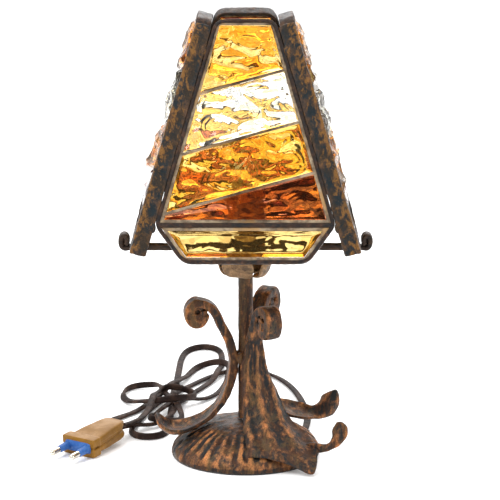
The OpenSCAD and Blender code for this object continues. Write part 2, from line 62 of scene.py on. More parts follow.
# The bundle's points: along it from the plug's end, and across it to the right
bundle_points = [
    (138, 5), (108, -4), (76, -9), (46, -11), (20, -11), (4, -4), (2, 9), (15, 18),
    (44, 15), (82, 9), (122, 3), (162, -3), (202, -9), (238, -14), (264, -13), (278, 0), (267, 15), (240, 22),
    (208, 27), (178, 27), (148, 21), (118, 14), (86, 12), (58, 14), (38, 8), (26, -5), (16, -18),
    (24, -31), (46, -31), (74, -18), (104, -9), (134, -4), (164, 1), (194, 3), (215, 8), (222, 22),
    (208, 34), (184, 38), (158, 39), (132, 37), (112, 28), (96, 16), (76, 5), (54, -3), (36, 3), (35, 19), (54, 24),
    (86, 10), (112, -3), (136, -14), (146, -28), (134, -40), (112, -39), (94, -28), (82, -12), (73, 5), (80, 20),
    (98, 26), (116, 20), (123, 6), (112, -5), (90, -7), (66, -4), (42, -4),
]
plug_tail = (-100.1, 33.3, 11.9)
bundle_start, bundle_way = np.array([-84.0, 30.0]), np.array([0.170, 0.985])
to_right = np.array([bundle_way[1], -bundle_way[0]])
plan = [np.array(p, float) for p in lead_points]
plan += [bundle_start + a * bundle_way + b * to_right for a, b in bundle_points]
plug_way = np.array([math.cos(math.radians(235)), math.sin(math.radians(235))])
plan += [np.array(plug_tail[:2]) - d * plug_way for d in (26, 13, 0)]


def through(points, per_gap):
    """A smooth line through the points."""
    p = np.array([points[0], *points, points[-1]], float)
    t = np.arange(per_gap)[:, None] / per_gap
    parts = [
        0.5 * (2 * b + (c - a) * t + (2 * a - 5 * b + 4 * c - d) * t**2 + (3 * b - a - 3 * c + d) * t**3)
        for a, b, c, d in zip(p, p[1:], p[2:], p[3:])
    ]
    return np.vstack([*parts, p[-1:]])


def evenly(line, step):
    """The same line with its points a fixed step apart."""
    run = np.r_[0, np.cumsum(np.linalg.norm(np.diff(line[:, :3], axis=0), axis=1))]
    at = np.linspace(0, run[-1], int(run[-1] / step) + 1)
    return np.column_stack([np.interp(at, run, line[:, k]) for k in range(line.shape[1])])


def eased(values, reach):
    """Values averaged with their neighbours, with the ends kept."""
    weight = np.exp(-0.5 * (np.arange(-3 * reach, 3 * reach + 1) / reach) ** 2)
    edges = [(3 * reach, 3 * reach), *[(0, 0)] * (np.ndim(values) - 1)]
    padded = np.pad(np.asarray(values, float), edges, "edge")
    if np.ndim(values) == 1:
        return np.convolve(padded, weight / weight.sum(), "valid")
    return np.column_stack([np.convolve(c, weight / weight.sum(), "valid") for c in padded.T])


cord_step, clearance, exit_up = 2.2, 0.25, 3.2
steepest = 0.24 * cord_step
ground = evenly(through(plan, 12), cord_step)
inner = eased(ground, 3)
inner[:6], inner[-6:] = ground[:6], ground[-6:]
ground = evenly(inner, cord_step)
count = len(ground)
# In a tight bend the flex stands on its edge, and along a straight run it lies flat
turning = np.gradient(np.unwrap(np.arctan2(*np.gradient(ground, axis=0).T[::-1]))) / cord_step
on_edge = eased(np.clip((np.abs(turning) - 1 / 75) / (1 / 26 - 1 / 75), 0, 1), 5)
stack = cord_thick + (cord_width - cord_thick) * on_edge
girth = cord_width - (cord_width - cord_thick) * on_edge
apart = np.linalg.norm(ground[:, None] - ground[None], axis=2)
order = np.arange(count)
under = (apart < 0.46 * (girth[:, None] + girth[None])) & (order[:, None] - order[None] > 9)
height = stack / 2 + clearance
height[0], height[-1] = exit_up, plug_tail[2]
floor_height = height.copy()
for _ in range(60):
    rest = np.where(under, height[None] + 0.5 * (stack[:, None] + stack[None]), 0).max(1)
    raised = np.maximum(floor_height, rest)
    for k in range(1, count):
        raised[k] = max(raised[k], raised[k - 1] - steepest)
    for k in range(count - 2, -1, -1):
        raised[k] = max(raised[k], raised[k + 1] - steepest)
    if np.allclose(raised, height):
        break
    height = raised
height = np.maximum(eased(height, 3), floor_height)
height[:3], height[-3:] = np.linspace(exit_up, height[3], 3), plug_tail[2]
cord_path = np.column_stack([ground, height]) / 1000


def grow(tree, kind, sockets=(), **settings):
    """Adds a node to a tree. A socket's value may be another node's output, which is then joined to it."""
    made = tree.nodes.new(kind)
    for name, value in settings.items():
        setattr(made, name, value)
    for key, value in dict(sockets).items():
        if isinstance(value, bpy.types.NodeSocket):
            tree.links.new(value, made.inputs[key])
        else:
            made.inputs[key].default_value = value
    return made


def workshop(name, sizes):
    """A Geometry Nodes tree with its geometry and its named sizes as inputs."""
    tree = bpy.data.node_groups.new(name, "GeometryNodeTree")
    tree.interface.new_socket("Geometry", in_out="INPUT", socket_type="NodeSocketGeometry")
    tree.interface.new_socket("Geometry", in_out="OUTPUT", socket_type="NodeSocketGeometry")
    for size, kind in sizes:
        tree.interface.new_socket(size, in_out="INPUT", socket_type="NodeSocket" + kind)
    return tree, grow(tree, "NodeGroupInput").outputs


def close(tree, geometry, material, smooth=True):
    """Ends a tree: real geometry in its material."""
    real = grow(tree, "GeometryNodeRealizeInstances", {0: geometry})
    if smooth:
        real = grow(tree, "GeometryNodeSetShadeSmooth", {0: real.outputs[0]})
    coated = grow(tree, "GeometryNodeSetMaterial", {"Geometry": real.outputs[0], "Material": material})
    grow(tree, "NodeGroupOutput", {0: coated.outputs[0]})


def made_by(tree, source, name, sizes):
    """Runs a tree on an object with these sizes, and leaves one plain mesh object in its place."""
    modifier = source.modifiers.new(tree.name, "NODES")
    modifier.node_group = tree
    sockets = {s.name: s.identifier for s in tree.interface.items_tree if s.in_out == "INPUT"}
    for size, value in sizes.items():
        modifier[sockets[size]] = value
    bpy.context.view_layer.update()
    mesh = bpy.data.meshes.new_from_object(source.evaluated_get(bpy.context.evaluated_depsgraph_get()))
    bpy.data.objects.remove(source)
    piece = bpy.data.objects.new(name, mesh)
    bpy.context.scene.collection.objects.link(piece)
    return piece


def surface(name, metallic=0.0, **fixed):
    """A new material. Returns it with its tree, its shader and the Object coordinates."""
    material = bpy.data.materials.new(name)
    material.use_nodes = True
    shader = material.node_tree.nodes["Principled BSDF"]
    shader.inputs["Metallic"].default_value = metallic
    for key, value in fixed.items():
        shader.inputs[key.replace("_", " ")].default_value = value
    place = grow(material.node_tree, "ShaderNodeTexCoord").outputs["Object"]
    return material, material.node_tree, shader, place


def grain(tree, place, scale, detail=4.0, rough=0.55, warp=0.0):
    """Noise from 0 to 1."""
    sockets = {"Vector": place, "Scale": scale, "Detail": detail, "Roughness": rough, "Distortion": warp}
    return grow(tree, "ShaderNodeTexNoise", sockets).outputs["Fac"]


def between(tree, value, low, high, to_low=0.0, to_high=1.0):
    """Smooth step from low to high."""
    sockets = {"Value": value, "From Min": low, "From Max": high, "To Min": to_low, "To Max": to_high}
    return grow(tree, "ShaderNodeMapRange", sockets, interpolation_type="SMOOTHSTEP").outputs["Result"]


def dyed(tree, share, first, second):
    """Two colours mixed by a share."""
    tones = [c if isinstance(c, bpy.types.NodeSocket) else (*c, 1) for c in (first, second)]
    return grow(tree, "ShaderNodeMix", {0: share, 6: tones[0], 7: tones[1]}, data_type="RGBA").outputs[2]


def sums(tree, operation, first, second):
    """One step of arithmetic."""
    return grow(tree, "ShaderNodeMath", {0: first, 1: second}, operation=operation).outputs[0]


def times(tree, first, *more):
    """Several values multiplied."""
    for factor in more:
        first = sums(tree, "MULTIPLY", first, factor)
    return first


def dressed(tree, shader, tone, gloss=None):
    """Gives a shader its colour and, where it varies, its roughness."""
    tree.links.new(tone, shader.inputs["Base Color"])
    if gloss is not None:
        tree.links.new(gloss, shader.inputs["Roughness"])


def bumped(tree, shader, height, distance, strength=1.0):
    """Fine relief from a height."""
    relief = grow(tree, "ShaderNodeBump", {"Height": height, "Distance": distance, "Strength": strength})
    tree.links.new(relief.outputs[0], shader.inputs["Normal"])


def finish(name, first, second, mottle, band, gloss=None, relief=None, metallic=0.0, **fixed):
    """A simple finish: two tones over a noise between the limits of a band. The gloss and the relief are
    (noise, limits or height), and a noise is its scale, detail, roughness and warp."""
    material, tree, shader, place = surface(name, metallic, **fixed)
    tone = dyed(tree, between(tree, grain(tree, place, *mottle), *band), first, second)
    dressed(tree, shader, tone, gloss and between(tree, grain(tree, place, *gloss[0]), *gloss[1]))
    if relief:
        bumped(tree, shader, grain(tree, place, *relief[0]), *relief[1])
    return material


flex = finish(
    "flex", (0.014, 0.0075, 0.0060), (0.050, 0.028, 0.020), (90, 6), (0.38, 0.68),
    gloss=((400,), (0.3, 0.7, 0.5, 0.75)), relief=((1500, 3), (0.0002, 0.5)), Specular_IOR_Level=0.12,
)

# The flex's section is a figure of eight, carried along the line and turned with it
tree, given = workshop("twin flex", [("Width", "Float"), ("Thickness", "Float"), ("Plastic", "Material")])
wire = grow(tree, "GeometryNodeCurvePrimitiveCircle", {"Resolution": 18, "Radius": 1.0}).outputs["Curve"]
split = grow(tree, "ShaderNodeSeparateXYZ", {0: grow(tree, "GeometryNodeInputPosition").outputs[0]})
aside = grow(tree, "ShaderNodeMath", {0: split.outputs[0]}, operation="ABSOLUTE").outputs[0]
waist = between(tree, aside, 0, 0.34, 0.62, 1.0)
wide = times(tree, given["Width"], 0.5, split.outputs[0])
thick = times(tree, split.outputs[1], waist, times(tree, given["Thickness"], 0.5))
section = grow(tree, "ShaderNodeCombineXYZ", {0: wide, 1: thick})
shaped = grow(tree, "GeometryNodeSetPosition", {"Geometry": wire, "Position": section.outputs[0]})
swept = grow(tree, "GeometryNodeCurveToMesh", {
    0: given["Geometry"], "Profile Curve": shaped.outputs[0], "Fill Caps": True,
})
close(tree, swept.outputs[0], given["Plastic"])
line = bpy.data.curves.new("cord line", "CURVE")
line.dimensions, line.twist_mode = "3D", "Z_UP"
strand = line.splines.new("POLY")
strand.points.add(count - 1)
strand.points.foreach_set("co", np.column_stack([cord_path, np.ones(count)]).ravel())
strand.points.foreach_set("tilt", math.pi / 2 * on_edge)
source = bpy.data.objects.new("cord line", line)
bpy.context.scene.collection.objects.link(source)
cord = made_by(tree, source, "cord", {
    "Width": cord_width / 1000, "Thickness": cord_thick / 1000, "Plastic": flex,
})
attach(cord, "stand")
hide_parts("cord_lead", "cord_hank")

# ---- Base ----
# A dome of sheet iron, beaten out from inside and chased into rough flutes from the rim inwards. Its land
# carries the stem, and a nut below clamps them together. All the iron of the lamp is darkened, and where
# hands and files have rubbed the high places, a copper-coloured undercoat shows. More copper on the dome's
# lower front, the side toward the camera, is a painted highlight.


def solid(name, points, faces, **noted):
    """A mesh object from points in millimetres, its faces turned outwards, and values noted at the points."""
    mesh = bpy.data.meshes.new(name)
    mesh.from_pydata((np.asarray(points, float) / 1000).tolist(), [], [list(map(int, f)) for f in faces])
    shell = bmesh.new()
    shell.from_mesh(mesh)
    bmesh.ops.recalc_face_normals(shell, faces=shell.faces)
    shell.to_mesh(mesh)
    shell.free()
    for key, values in noted.items():
        mesh.attributes.new(key, "FLOAT", "POINT").data.foreach_set("value", np.asarray(values, np.float32))
    piece = bpy.data.objects.new(name, mesh)
    bpy.context.scene.collection.objects.link(piece)
    return piece


def walls(rings, around, joined=False):
    """The faces between rings of points; the ends are closed unless the last ring joins the first."""
    step = np.arange(around)
    following = (step + 1) % around
    faces = []
    for k in range(rings if joined else rings - 1):
        low, high = k * around, (k + 1) % rings * around
        faces += np.column_stack([low + step, low + following, high + following, high + step]).tolist()
    if not joined:
        faces += [list(range(around)), [(rings - 1) * around + i for i in range(around)]]
    return faces


def turned(name, profile, around):
    """A closed ring turned from a profile of [radius, height] points."""
    angle = 2 * np.pi * np.arange(around)[:, None] / around
    out, up = profile[None, :, 0], np.broadcast_to(profile[None, :, 1], (around, len(profile)))
    rings = np.stack([out * np.cos(angle), out * np.sin(angle), up], axis=2)
    return solid(name, rings.reshape(-1, 3), walls(around, len(profile), joined=True))


def fitted(piece, body, *nodes, slot=None):
    """The piece rides on a body and stands for these nodes."""
    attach(piece, body)
    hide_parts(*nodes)


def vectors(tree, operation, first, second):
    """One step of arithmetic with vectors."""
    sockets = {0: first, "Scale" if operation == "SCALE" else 1: second}
    return grow(tree, "ShaderNodeVectorMath", sockets, operation=operation).outputs[0]


def noting(tree, geometry, name, value):
    """Notes a value at every point of the geometry."""
    sockets = {"Geometry": geometry, "Name": name, "Value": value}
    return grow(tree, "GeometryNodeStoreNamedAttribute", sockets, data_type="FLOAT", domain="POINT").outputs[0]


# One tree puts the hammer's dents into any piece made by the smith
beaten, given = workshop("hammered", [
    ("Levels", "Int"), ("Dent size", "Float"), ("Dent depth", "Float"), ("Unevenness", "Float"), ("Seed", "Float"),
    ("Finish", "Material"),
])
finer = grow(beaten, "GeometryNodeSubdivisionSurface", {"Mesh": given["Geometry"], "Level": given["Levels"]})
here = grow(beaten, "GeometryNodeInputPosition").outputs[0]
shift = grow(beaten, "ShaderNodeCombineXYZ", {0: given["Seed"], 1: given["Seed"], 2: given["Seed"]})
seeded = vectors(beaten, "ADD", here, shift.outputs[0])
often = sums(beaten, "DIVIDE", 1.0, given["Dent size"])
cells = grow(
    beaten, "ShaderNodeTexVoronoi", {"Vector": seeded, "Scale": often, "Smoothness": 0.35}, feature="SMOOTH_F1",
)
dent = times(beaten, sums(beaten, "SUBTRACT", cells.outputs["Distance"], 0.5), given["Dent depth"])
uneven = grain(beaten, seeded, times(beaten, often, 0.33), 2)
wave = times(beaten, sums(beaten, "SUBTRACT", uneven, 0.5), given["Unevenness"])
outward = grow(beaten, "GeometryNodeInputNormal").outputs[0]
lift = vectors(beaten, "SCALE", outward, sums(beaten, "ADD", dent, wave))
struck = grow(beaten, "GeometryNodeSetPosition", {"Geometry": finer.outputs[0], "Offset": lift})
ridge = grow(beaten, "GeometryNodeInputNamedAttribute", {"Name": "ridge"}, data_type="FLOAT").outputs[0]
# The noted rub is wear on the dents' rims and the ridges, and on the dome's lower front also a painted highlight.
high_place_and_highlight = sums(beaten, "ADD", between(beaten, cells.outputs["Distance"], 0.42, 0.8, 0, 0.14), ridge)
close(beaten, noting(beaten, struck.outputs[0], "rub_and_highlight", high_place_and_highlight), given["Finish"])


def patina(
    name, dark, cold, gold, copper, rubbed=1.0, patches=0.5, gilt=0.0, spots=120, along=(1, 1, 0.14), metallic=0.35,
):
    """Darkened iron: brown with blue-black patches and gold stains, and copper streaks along the bar where
    it is rubbed, and where the noted rub carries a painted highlight. The gilt share draws the stains to one
    edge of a bar, and spots is how fine they are."""
    material, tree, shader, place = surface(name, metallic, Specular_IOR_Level=0.22)
    rub_and_highlight = grow(tree, "ShaderNodeAttribute", attribute_name="rub_and_highlight").outputs["Fac"]
    aside = grow(tree, "ShaderNodeAttribute", attribute_name="aside").outputs["Fac"]
    drawn = grow(tree, "ShaderNodeMapping", {"Vector": place, "Scale": along}).outputs[0]
    moved = grow(tree, "ShaderNodeMapping", {"Vector": drawn, "Location": (0.7, 0.3, 0.1)}).outputs[0]
    broad = grain(tree, drawn, 95, 6, 0.66, 0.6)
    mottled = grain(tree, place, 170, 9, 0.72, 0.3)
    streaks = grain(tree, drawn, 330, 8, 0.74)
    fine = grain(tree, place, 1100, 5, 0.7)
    tone = dyed(tree, between(tree, broad, 0.42, 0.58), dark, cold)
    stain = sums(tree, "ADD", grain(tree, moved, spots, 9, 0.72, 0.5), times(tree, aside, gilt))
    tone = dyed(tree, times(tree, between(tree, stain, 0.50, 0.62), patches), tone, gold)
    wear_and_highlight = sums(tree, "ADD", streaks, times(tree, mottled, 0.7))
    wear_and_highlight = sums(tree, "ADD", wear_and_highlight, times(tree, rub_and_highlight, 0.9))
    ochre = dyed(tree, between(tree, grain(tree, moved, 240, 6, 0.7), 0.3, 0.7, 0.0, 0.8), copper, gold)
    tone = dyed(tree, times(tree, between(tree, wear_and_highlight, 0.86, 1.30), rubbed), tone, ochre)
    tone = dyed(tree, between(tree, fine, 0.34, 0.50, 0.7, 0), tone, (0.012, 0.010, 0.010))
    dressed(tree, shader, tone, between(tree, mottled, 0.35, 0.65, 0.36, 0.62))
    bumped(tree, shader, sums(tree, "ADD", times(tree, mottled, 0.8), times(tree, streaks, 0.7)), 0.0009, 0.8)
    return material


forged_iron = patina(
    "forged iron", (0.062, 0.028, 0.015), (0.017, 0.019, 0.020), (0.16, 0.098, 0.036), (0.66, 0.250, 0.085),
    patches=0.4,
)

base_r, dome_h, dome_wall, rim_top, land_r, tube_hole = 57.0, 28.0, 2.0, 3.6, 9.0, 5.2


def dome_line(drop, points):
    """The dome's outline from the rim to the land under the stem, lowered by a drop."""
    a = np.linspace(0, np.pi / 2, points)
    out = land_r + (base_r - land_r) * np.cos(a) * (0.86 + 0.14 * np.cos(a)) - drop * np.cos(a)
    up = rim_top + (dome_h - rim_top) * np.sin(a) * (0.72 + 0.28 * np.sin(a)) - drop * (0.3 + 0.7 * np.sin(a))
    return np.column_stack([out, up])


pad_t = 1.02
profile = np.vstack([
    [[base_r - dome_wall, pad_t], [base_r - 0.7, pad_t], [base_r, 1.6]], dome_line(0, 52),
    [[tube_hole, dome_h], [tube_hole, dome_h - dome_wall]], dome_line(dome_wall, 16)[::-1],
])
source = turned("dome", profile, 420)
chased, given = workshop("chased flutes", [
    ("Flutes", "Float"), ("Depth", "Float"), ("Rim radius", "Float"), ("Finish", "Material"),
])
spot = grow(chased, "GeometryNodeInputPosition").outputs[0]
split = grow(chased, "ShaderNodeSeparateXYZ", {0: spot}).outputs
flat = grow(chased, "ShaderNodeCombineXYZ", {0: split[0], 1: split[1]}).outputs[0]
reach = grow(chased, "ShaderNodeVectorMath", {0: flat}, operation="LENGTH").outputs["Value"]
share = sums(chased, "DIVIDE", reach, given["Rim radius"])
bearing = sums(chased, "ARCTAN2", split[1], split[0])
sway = times(chased, sums(chased, "SUBTRACT", grain(chased, flat, 34, 3), 0.5), 5.5)
phase = sums(chased, "ADD", times(chased, bearing, given["Flutes"]), sway)
crest = grow(chased, "ShaderNodeMath", {0: phase}, operation="COSINE").outputs[0]
crest = sums(chased, "SUBTRACT", 1.0, sums(chased, "POWER", between(chased, crest, -1, 1, 1, 0), 1.6))
ragged = times(chased, grain(chased, spot, 60, 2), 0.5)
inside = between(chased, sums(chased, "ADD", share, ragged), 0.74, 0.92)
outside = between(chased, share, 0.90, 0.98, 1.0, 0.1)
patchy = between(chased, grain(chased, spot, 75, 3), 0.38, 0.58, 0.15, 1.0)
strength = times(chased, inside, outside, patchy)
way = grow(chased, "GeometryNodeInputNormal").outputs[0]
is_top = between(chased, grow(chased, "ShaderNodeSeparateXYZ", {0: way}).outputs[2], 0.02, 0.2)
cut = times(chased, sums(chased, "SUBTRACT", crest, 1.0), strength, given["Depth"], is_top)
sunk_in = vectors(chased, "SCALE", way, cut)
moved = grow(chased, "GeometryNodeSetPosition", {"Geometry": given["Geometry"], "Offset": sunk_in})
ridges = times(chased, sums(chased, "SUBTRACT", crest, 0.72), strength)
# Painted highlight: extra copper on the dome's lower front, the side toward the camera, noted with the wear on the
# flute crests.
highlight_front, low = between(chased, split[1], -0.02, -0.05), between(chased, share, 0.66, 0.95, 0, 0.16)
ridges = sums(chased, "ADD", ridges, times(chased, highlight_front, low, is_top))
close(chased, noting(chased, moved.outputs[0], "ridge", ridges), given["Finish"])
source = made_by(chased, source, "dome", {
    "Flutes": 38.0, "Depth": 0.0015, "Rim radius": base_r / 1000, "Finish": forged_iron,
})
dome = made_by(beaten, source, "base", {
    "Levels": 0, "Dent size": 0.0065, "Dent depth": 0.0010, "Unevenness": 0.0012, "Seed": 1.7, "Finish": forged_iron,
})
fitted(dome, "stand", "base_dome", slot="forged_iron")

# ---- Stalks ----
# Three iron bars, drawn out at the foot into thin leaves and rolled at the top into solid scrolls. They
# bow in to the stem and are brazed to it; the front one also spreads into a pleated cloak over the stem.
weld_z, scroll_r, scroll_z, bar_t, bar_w, leaf_t, rolled = 77.0, 37.8, 113.3, 7.0, 13.0, 2.4, 1.6
# Rows of a bar, for drawn_out: x outwards, y, z, width, thickness, dish and twist
scroll = []
for a in range(-178, 106, 15):
    uncoiled = (a + 178) / 285
    scroll.append([
        scroll_r + (5.6 + 0.5 * uncoiled) * math.cos(math.radians(a)), 0,
        scroll_z + (7.4 + 1.2 * uncoiled) * math.sin(math.radians(a)), bar_w, 8.6 - 1.6 * uncoiled, 0, 0,
    ])
scroll_core = [
    [
        scroll_r + 5.2 * math.cos(math.radians(a)), 0,
        scroll_z + rolled + 4.6 * math.sin(math.radians(a)), 12, 6.2, 0, 0,
    ]
    for a in range(-200, 161, 20)
]
shank = [
    [29.2, 0, 119.2, bar_w, bar_t, 0, 0], [23.8, 0, 113.6, bar_w - 0.5, bar_t, 0, 0],
    [19.9, 0, 105, bar_w - 1, bar_t, 0, 0], [16.2, 0, 98.0, bar_w - 1, bar_t, 0, 0],
    [12.8, 0, 90.5, bar_w - 1, bar_t, 0, 0], [9.6, 0, weld_z, bar_w, bar_t, 0, 0],
]
left_foot = [
    [10.8, 0, 63, 12, 6.6, 0, 0], [14, 0, 52, 12.5, 5.8, 0, 0], [19.8, 0, 41, 15, 4.8, 0.6, 0],
    [28.5, 0, 31.5, 20, 3.6, 2, 0], [39.5, 0, 24.5, 25, leaf_t, 4, 0], [50, 0, 20.5, 28, leaf_t, 5.5, 0],
    [59, 0, 20.5, 26, leaf_t, 6, 0], [66, -2, 26, 17, leaf_t, 4, 0], [69, -3, 34, 6, 2, 0, 0],
]
back_foot = [
    [10.8, 0, 63, 12, 6.6, 0, 0], [13.6, 0, 53, 13, 6, 0, 0], [18, -3, 43, 15, 5, 0.6, 6],
    [25, -8, 35, 20, 3.6, 2, 10], [34, -16, 28, 25, leaf_t, 4, 14], [42, -26, 24, 24, leaf_t, 5, 14],
    [47.5, -33, 23.5, 15, leaf_t, 3, 26], [51, -38, 26, 13, leaf_t, -3, 50], [54, -43, 29.5, 16, leaf_t, -6, 66],
    [56, -46, 34, 15, 2, -6, 80], [57, -48, 38.5, 9, 1.8, -3, 88], [57.5, -50, 43, 1.5, 1.2, 0, 90],
]
front_foot = [[10.8, 0, 63, 15, 6, 0, 0], [13.6, 1, 52, 14, 4.6, 0, 0], [17, 2, 44, 9, 3, 0, 0]]


def turned_about(points, degrees):
    """Points turned about the lamp's axis."""
    c, s = math.cos(math.radians(degrees)), math.sin(math.radians(degrees))
    return np.asarray(points, float) @ np.array([[c, s, 0], [-s, c, 0], [0, 0, 1]])


def unit(v):
    """Vectors of length one."""
    return v / np.linalg.norm(v, axis=-1, keepdims=True)


def drawn_out(name, rows, across, step=2.0, corners=28, joined=False, square=0.45):
    """A forged bar along rows of [x, y, z, width, thickness, dish, twist]: its section has eased corners,
    its width lies along across, its edges rise by the dish, and the twist turns it, in degrees."""
    p = evenly(np.asarray(rows, float), step)
    if joined:
        p = p[:-1]
        along = unit(np.roll(p[:, :3], -1, 0) - np.roll(p[:, :3], 1, 0))
    else:
        along = unit(np.gradient(p[:, :3], axis=0))
    side = across(p[:, :3], along) if callable(across) else np.tile(np.asarray(across, float), (len(p), 1))
    side = unit(side - (side * along).sum(1, keepdims=True) * along)
    up = np.cross(along, side)
    turn = np.radians(p[:, 6:7])
    side, up = side * np.cos(turn) + up * np.sin(turn), up * np.cos(turn) - side * np.sin(turn)
    a = 2 * np.pi * (np.arange(corners) + 0.5) / corners
    u = np.sign(np.cos(a)) * np.abs(np.cos(a)) ** (0.8 * square + 0.1)
    v = np.sign(np.sin(a)) * np.abs(np.sin(a)) ** square
    wide = u * p[:, 3:4] / 2
    high = v * p[:, 4:5] / 2 + p[:, 5:6] * (u**2 - 0.3)
    rings = p[:, None, :3] + wide[..., None] * side[:, None] + high[..., None] * up[:, None]
    edge = np.tile(np.clip((np.abs(u * v) - 0.5) / 0.4, 0, 1), len(p))
    faces = walls(len(p), corners, joined)
    return solid(name, rings.reshape(-1, 3), faces, ridge=0.20 * edge, aside=np.tile(u, len(p)))


def gathered(name, parts):
    """Several meshes made one object, with what was noted at their points."""
    points, faces, noted = [], [], {"ridge": [], "aside": []}
    for part in parts:
        mesh, start = part.data, sum(map(len, points))
        spots = np.empty(3 * len(mesh.vertices))
        mesh.vertices.foreach_get("co", spots)
        points.append(spots.reshape(-1, 3) * 1000)
        faces += [[start + v for v in face.vertices] for face in mesh.polygons]
        for key, values in noted.items():
            value = np.zeros(len(mesh.vertices))
            if key in mesh.attributes:
                mesh.attributes[key].data.foreach_get("value", value)
            values.append(value)
        bpy.data.objects.remove(part)
    return solid(name, np.vstack(points), faces, **{key: np.concatenate(v) for key, v in noted.items()})


def reshaped(piece, change):
    """Moves every point of a piece by a rule that works in millimetres."""
    points = np.array([v.co for v in piece.data.vertices]) * 1000
    piece.data.vertices.foreach_set("co", (change(points) / 1000).ravel())
    return piece


def level(points, along):
    """Across a bar and level with the table."""
    return np.column_stack([-along[:, 1], np.abs(along[:, 0]) + 0.02, np.zeros(len(along))])


def beat(source, name, size=6.0, depth=0.7, uneven=0.8, seed=0.0, finish=forged_iron):
    """Hammers a piece; the sizes are in millimetres."""
    sizes = {"Levels": 1, "Dent size": size / 1000, "Dent depth": depth / 1000, "Unevenness": uneven / 1000}
    return made_by(beaten, source, name, {**sizes, "Seed": seed, "Finish": finish})


def two_faced(front, back):
    """A closed piece between two nets of points: its points, its faces, and how many faces the nets have."""
    grid = np.arange(front.shape[0] * front.shape[1]).reshape(front.shape[:2])
    quads = np.stack([grid[:-1, :-1], grid[:-1, 1:], grid[1:, 1:], grid[1:, :-1]], axis=-1).reshape(-1, 4)
    rim = np.r_[grid[0, :-1], grid[:-1, -1], grid[-1, :0:-1], grid[:0:-1, 0]]
    edge = np.column_stack([rim, np.roll(rim, -1), np.roll(rim, -1) + grid.size, rim + grid.size])
    faces = [*quads.tolist(), *(quads[:, ::-1] + grid.size).tolist(), *edge.tolist()]
    return np.vstack([front.reshape(-1, 3), back.reshape(-1, 3)]), faces, 2 * len(quads)


def spread_out(name, net, thickness, folds):
    """A thin leaf through a net of points: rows down the leaf, columns across it."""
    net = np.asarray(net, float)
    cross = np.array([through(row, 10) for row in net])
    sheet = np.stack([through(cross[:, k], 7) for k in range(cross.shape[1])], axis=1)
    rows, columns = sheet.shape[:2]
    normal = unit(np.cross(np.gradient(sheet, axis=0), np.gradient(sheet, axis=1)))
    down, over = np.linspace(0, 1, rows)[:, None], np.linspace(0, 1, columns)[None]
    pleat = folds * np.sin(np.pi * down) ** 0.5 * np.cos(2 * np.pi * (3.4 * over + 0.6 * down))
    edge = np.minimum(1, 0.35 + 7 * np.minimum(np.minimum(over, 1 - over), 1 - down))
    half = (thickness / 2 * edge)[..., None] * normal
    sheet = sheet + pleat[..., None] * normal
    points, faces, _ = two_faced(sheet + half, sheet - half)
    crest = 0.2 * np.clip(pleat / folds, 0, 1).ravel()
    return solid(name, points, faces, ridge=np.r_[crest, crest])


cloak = [
    [(0.6, -16.1, 94), (3.6, -15.2, 94), (6.8, -13.6, 94), (10, -11.4, 94), (13, -9.5, 94)],
    [(-0.7, -16.9, 84), (3.2, -16.2, 84), (7.0, -14.4, 84), (11, -11.4, 84), (14.3, -8.7, 84)],
    [(-3.3, -15.5, 76), (1.4, -16.6, 76), (7.2, -15.0, 76), (12, -11.4, 76), (15.8, -7.6, 76)],
    [(-3.6, -15.5, 67), (1.6, -17.4, 67), (7.8, -16.6, 67), (14, -12.4, 67), (18.4, -7, 67)],
    [(-3.6, -16.5, 57), (2, -19.4, 57), (9, -19.6, 57), (17, -14.6, 57), (22.5, -8.5, 57)],
    [(-3.5, -18.5, 47), (3, -22.6, 47), (11, -23.6, 47), (20.6, -17.6, 47), (27, -10.5, 47)],
    [(-2.8, -23.5, 37.5), (4, -28, 37.5), (13.5, -30, 37.5), (24.6, -22.6, 37.5), (31, -13, 37.5)],
    [(-1.9, -31, 30), (6, -36, 29.6), (16.5, -38, 29), (28.6, -29, 29), (36, -17, 30)],
    [(-0.4, -40, 23.2), (9, -43, 22.4), (23, -43.5, 20.6), (36, -35, 21.4), (44, -21, 24.6)],
    [(1.1, -46.6, 17.6), (12, -49.4, 16.6), (29, -51, 13), (44, -44, 12.6), (51, -29, 19)],
    [(1.9, -51.5, 12.4), (15, -53.6, 12.6), (33.5, -56, 8), (50.7, -60, 2.2), (55, -41, 13.5)],
]
paddle = [
    [43, -33, 14.8, 4, 1.4, 0, 0], [50, -35.5, 15.4, 8, 1.8, 0, 0], [59, -39, 16.0, 6.5, 2.0, 0, 0],
    [65, -38.6, 17.8, 6, 2.2, 0, 0], [69.4, -37.6, 22, 9, 2.2, -0.8, 0], [71.4, -36.6, 27, 12.2, 2.2, -1.5, 0],
    [71.4, -36, 32, 10.6, 2.2, -1.5, 0], [70.4, -36, 36, 3.5, 1.6, 0, 0],
]
for name, foot, turn, seed in [
    ("left", left_foot, -82, 3.1), ("back", back_foot, 152, 5.3), ("front", front_foot, 28, 7.7)
]:
    rows = np.array(scroll + shank + foot, float)
    if name == "front":
        from_middle = rows[:len(scroll), [0, 2]] - [scroll_r, scroll_z]
        rows[:len(scroll), [0, 2]] = [scroll_r, scroll_z - 1] + 1.12 * from_middle
    bar = drawn_out("bar", through(rows, 6), level, square=0.3)
    core = drawn_out("core", scroll_core, (0, 1, 0), step=1.6, square=0.3)
    heart = [[scroll_r, y, scroll_z + rolled, 8, 8, 0, 0] for y in (-3, 3)]
    bar = gathered("bar", [bar, core, drawn_out("heart", heart, (1, 0, 0), square=0.8)])
    reshaped(bar, lambda points: turned_about(points, turn - 90))
    if name == "front":
        tip = drawn_out("tip", through(paddle, 6), (-0.55, 0.15, 0.8), step=1.4)
        bar = gathered("front", [bar, spread_out("cloak", cloak, leaf_t, 1.1), tip])
    fitted(beat(bar, "stalk_of_" + name, seed=seed), "stand", "stalk_" + name, slot="forged_iron")

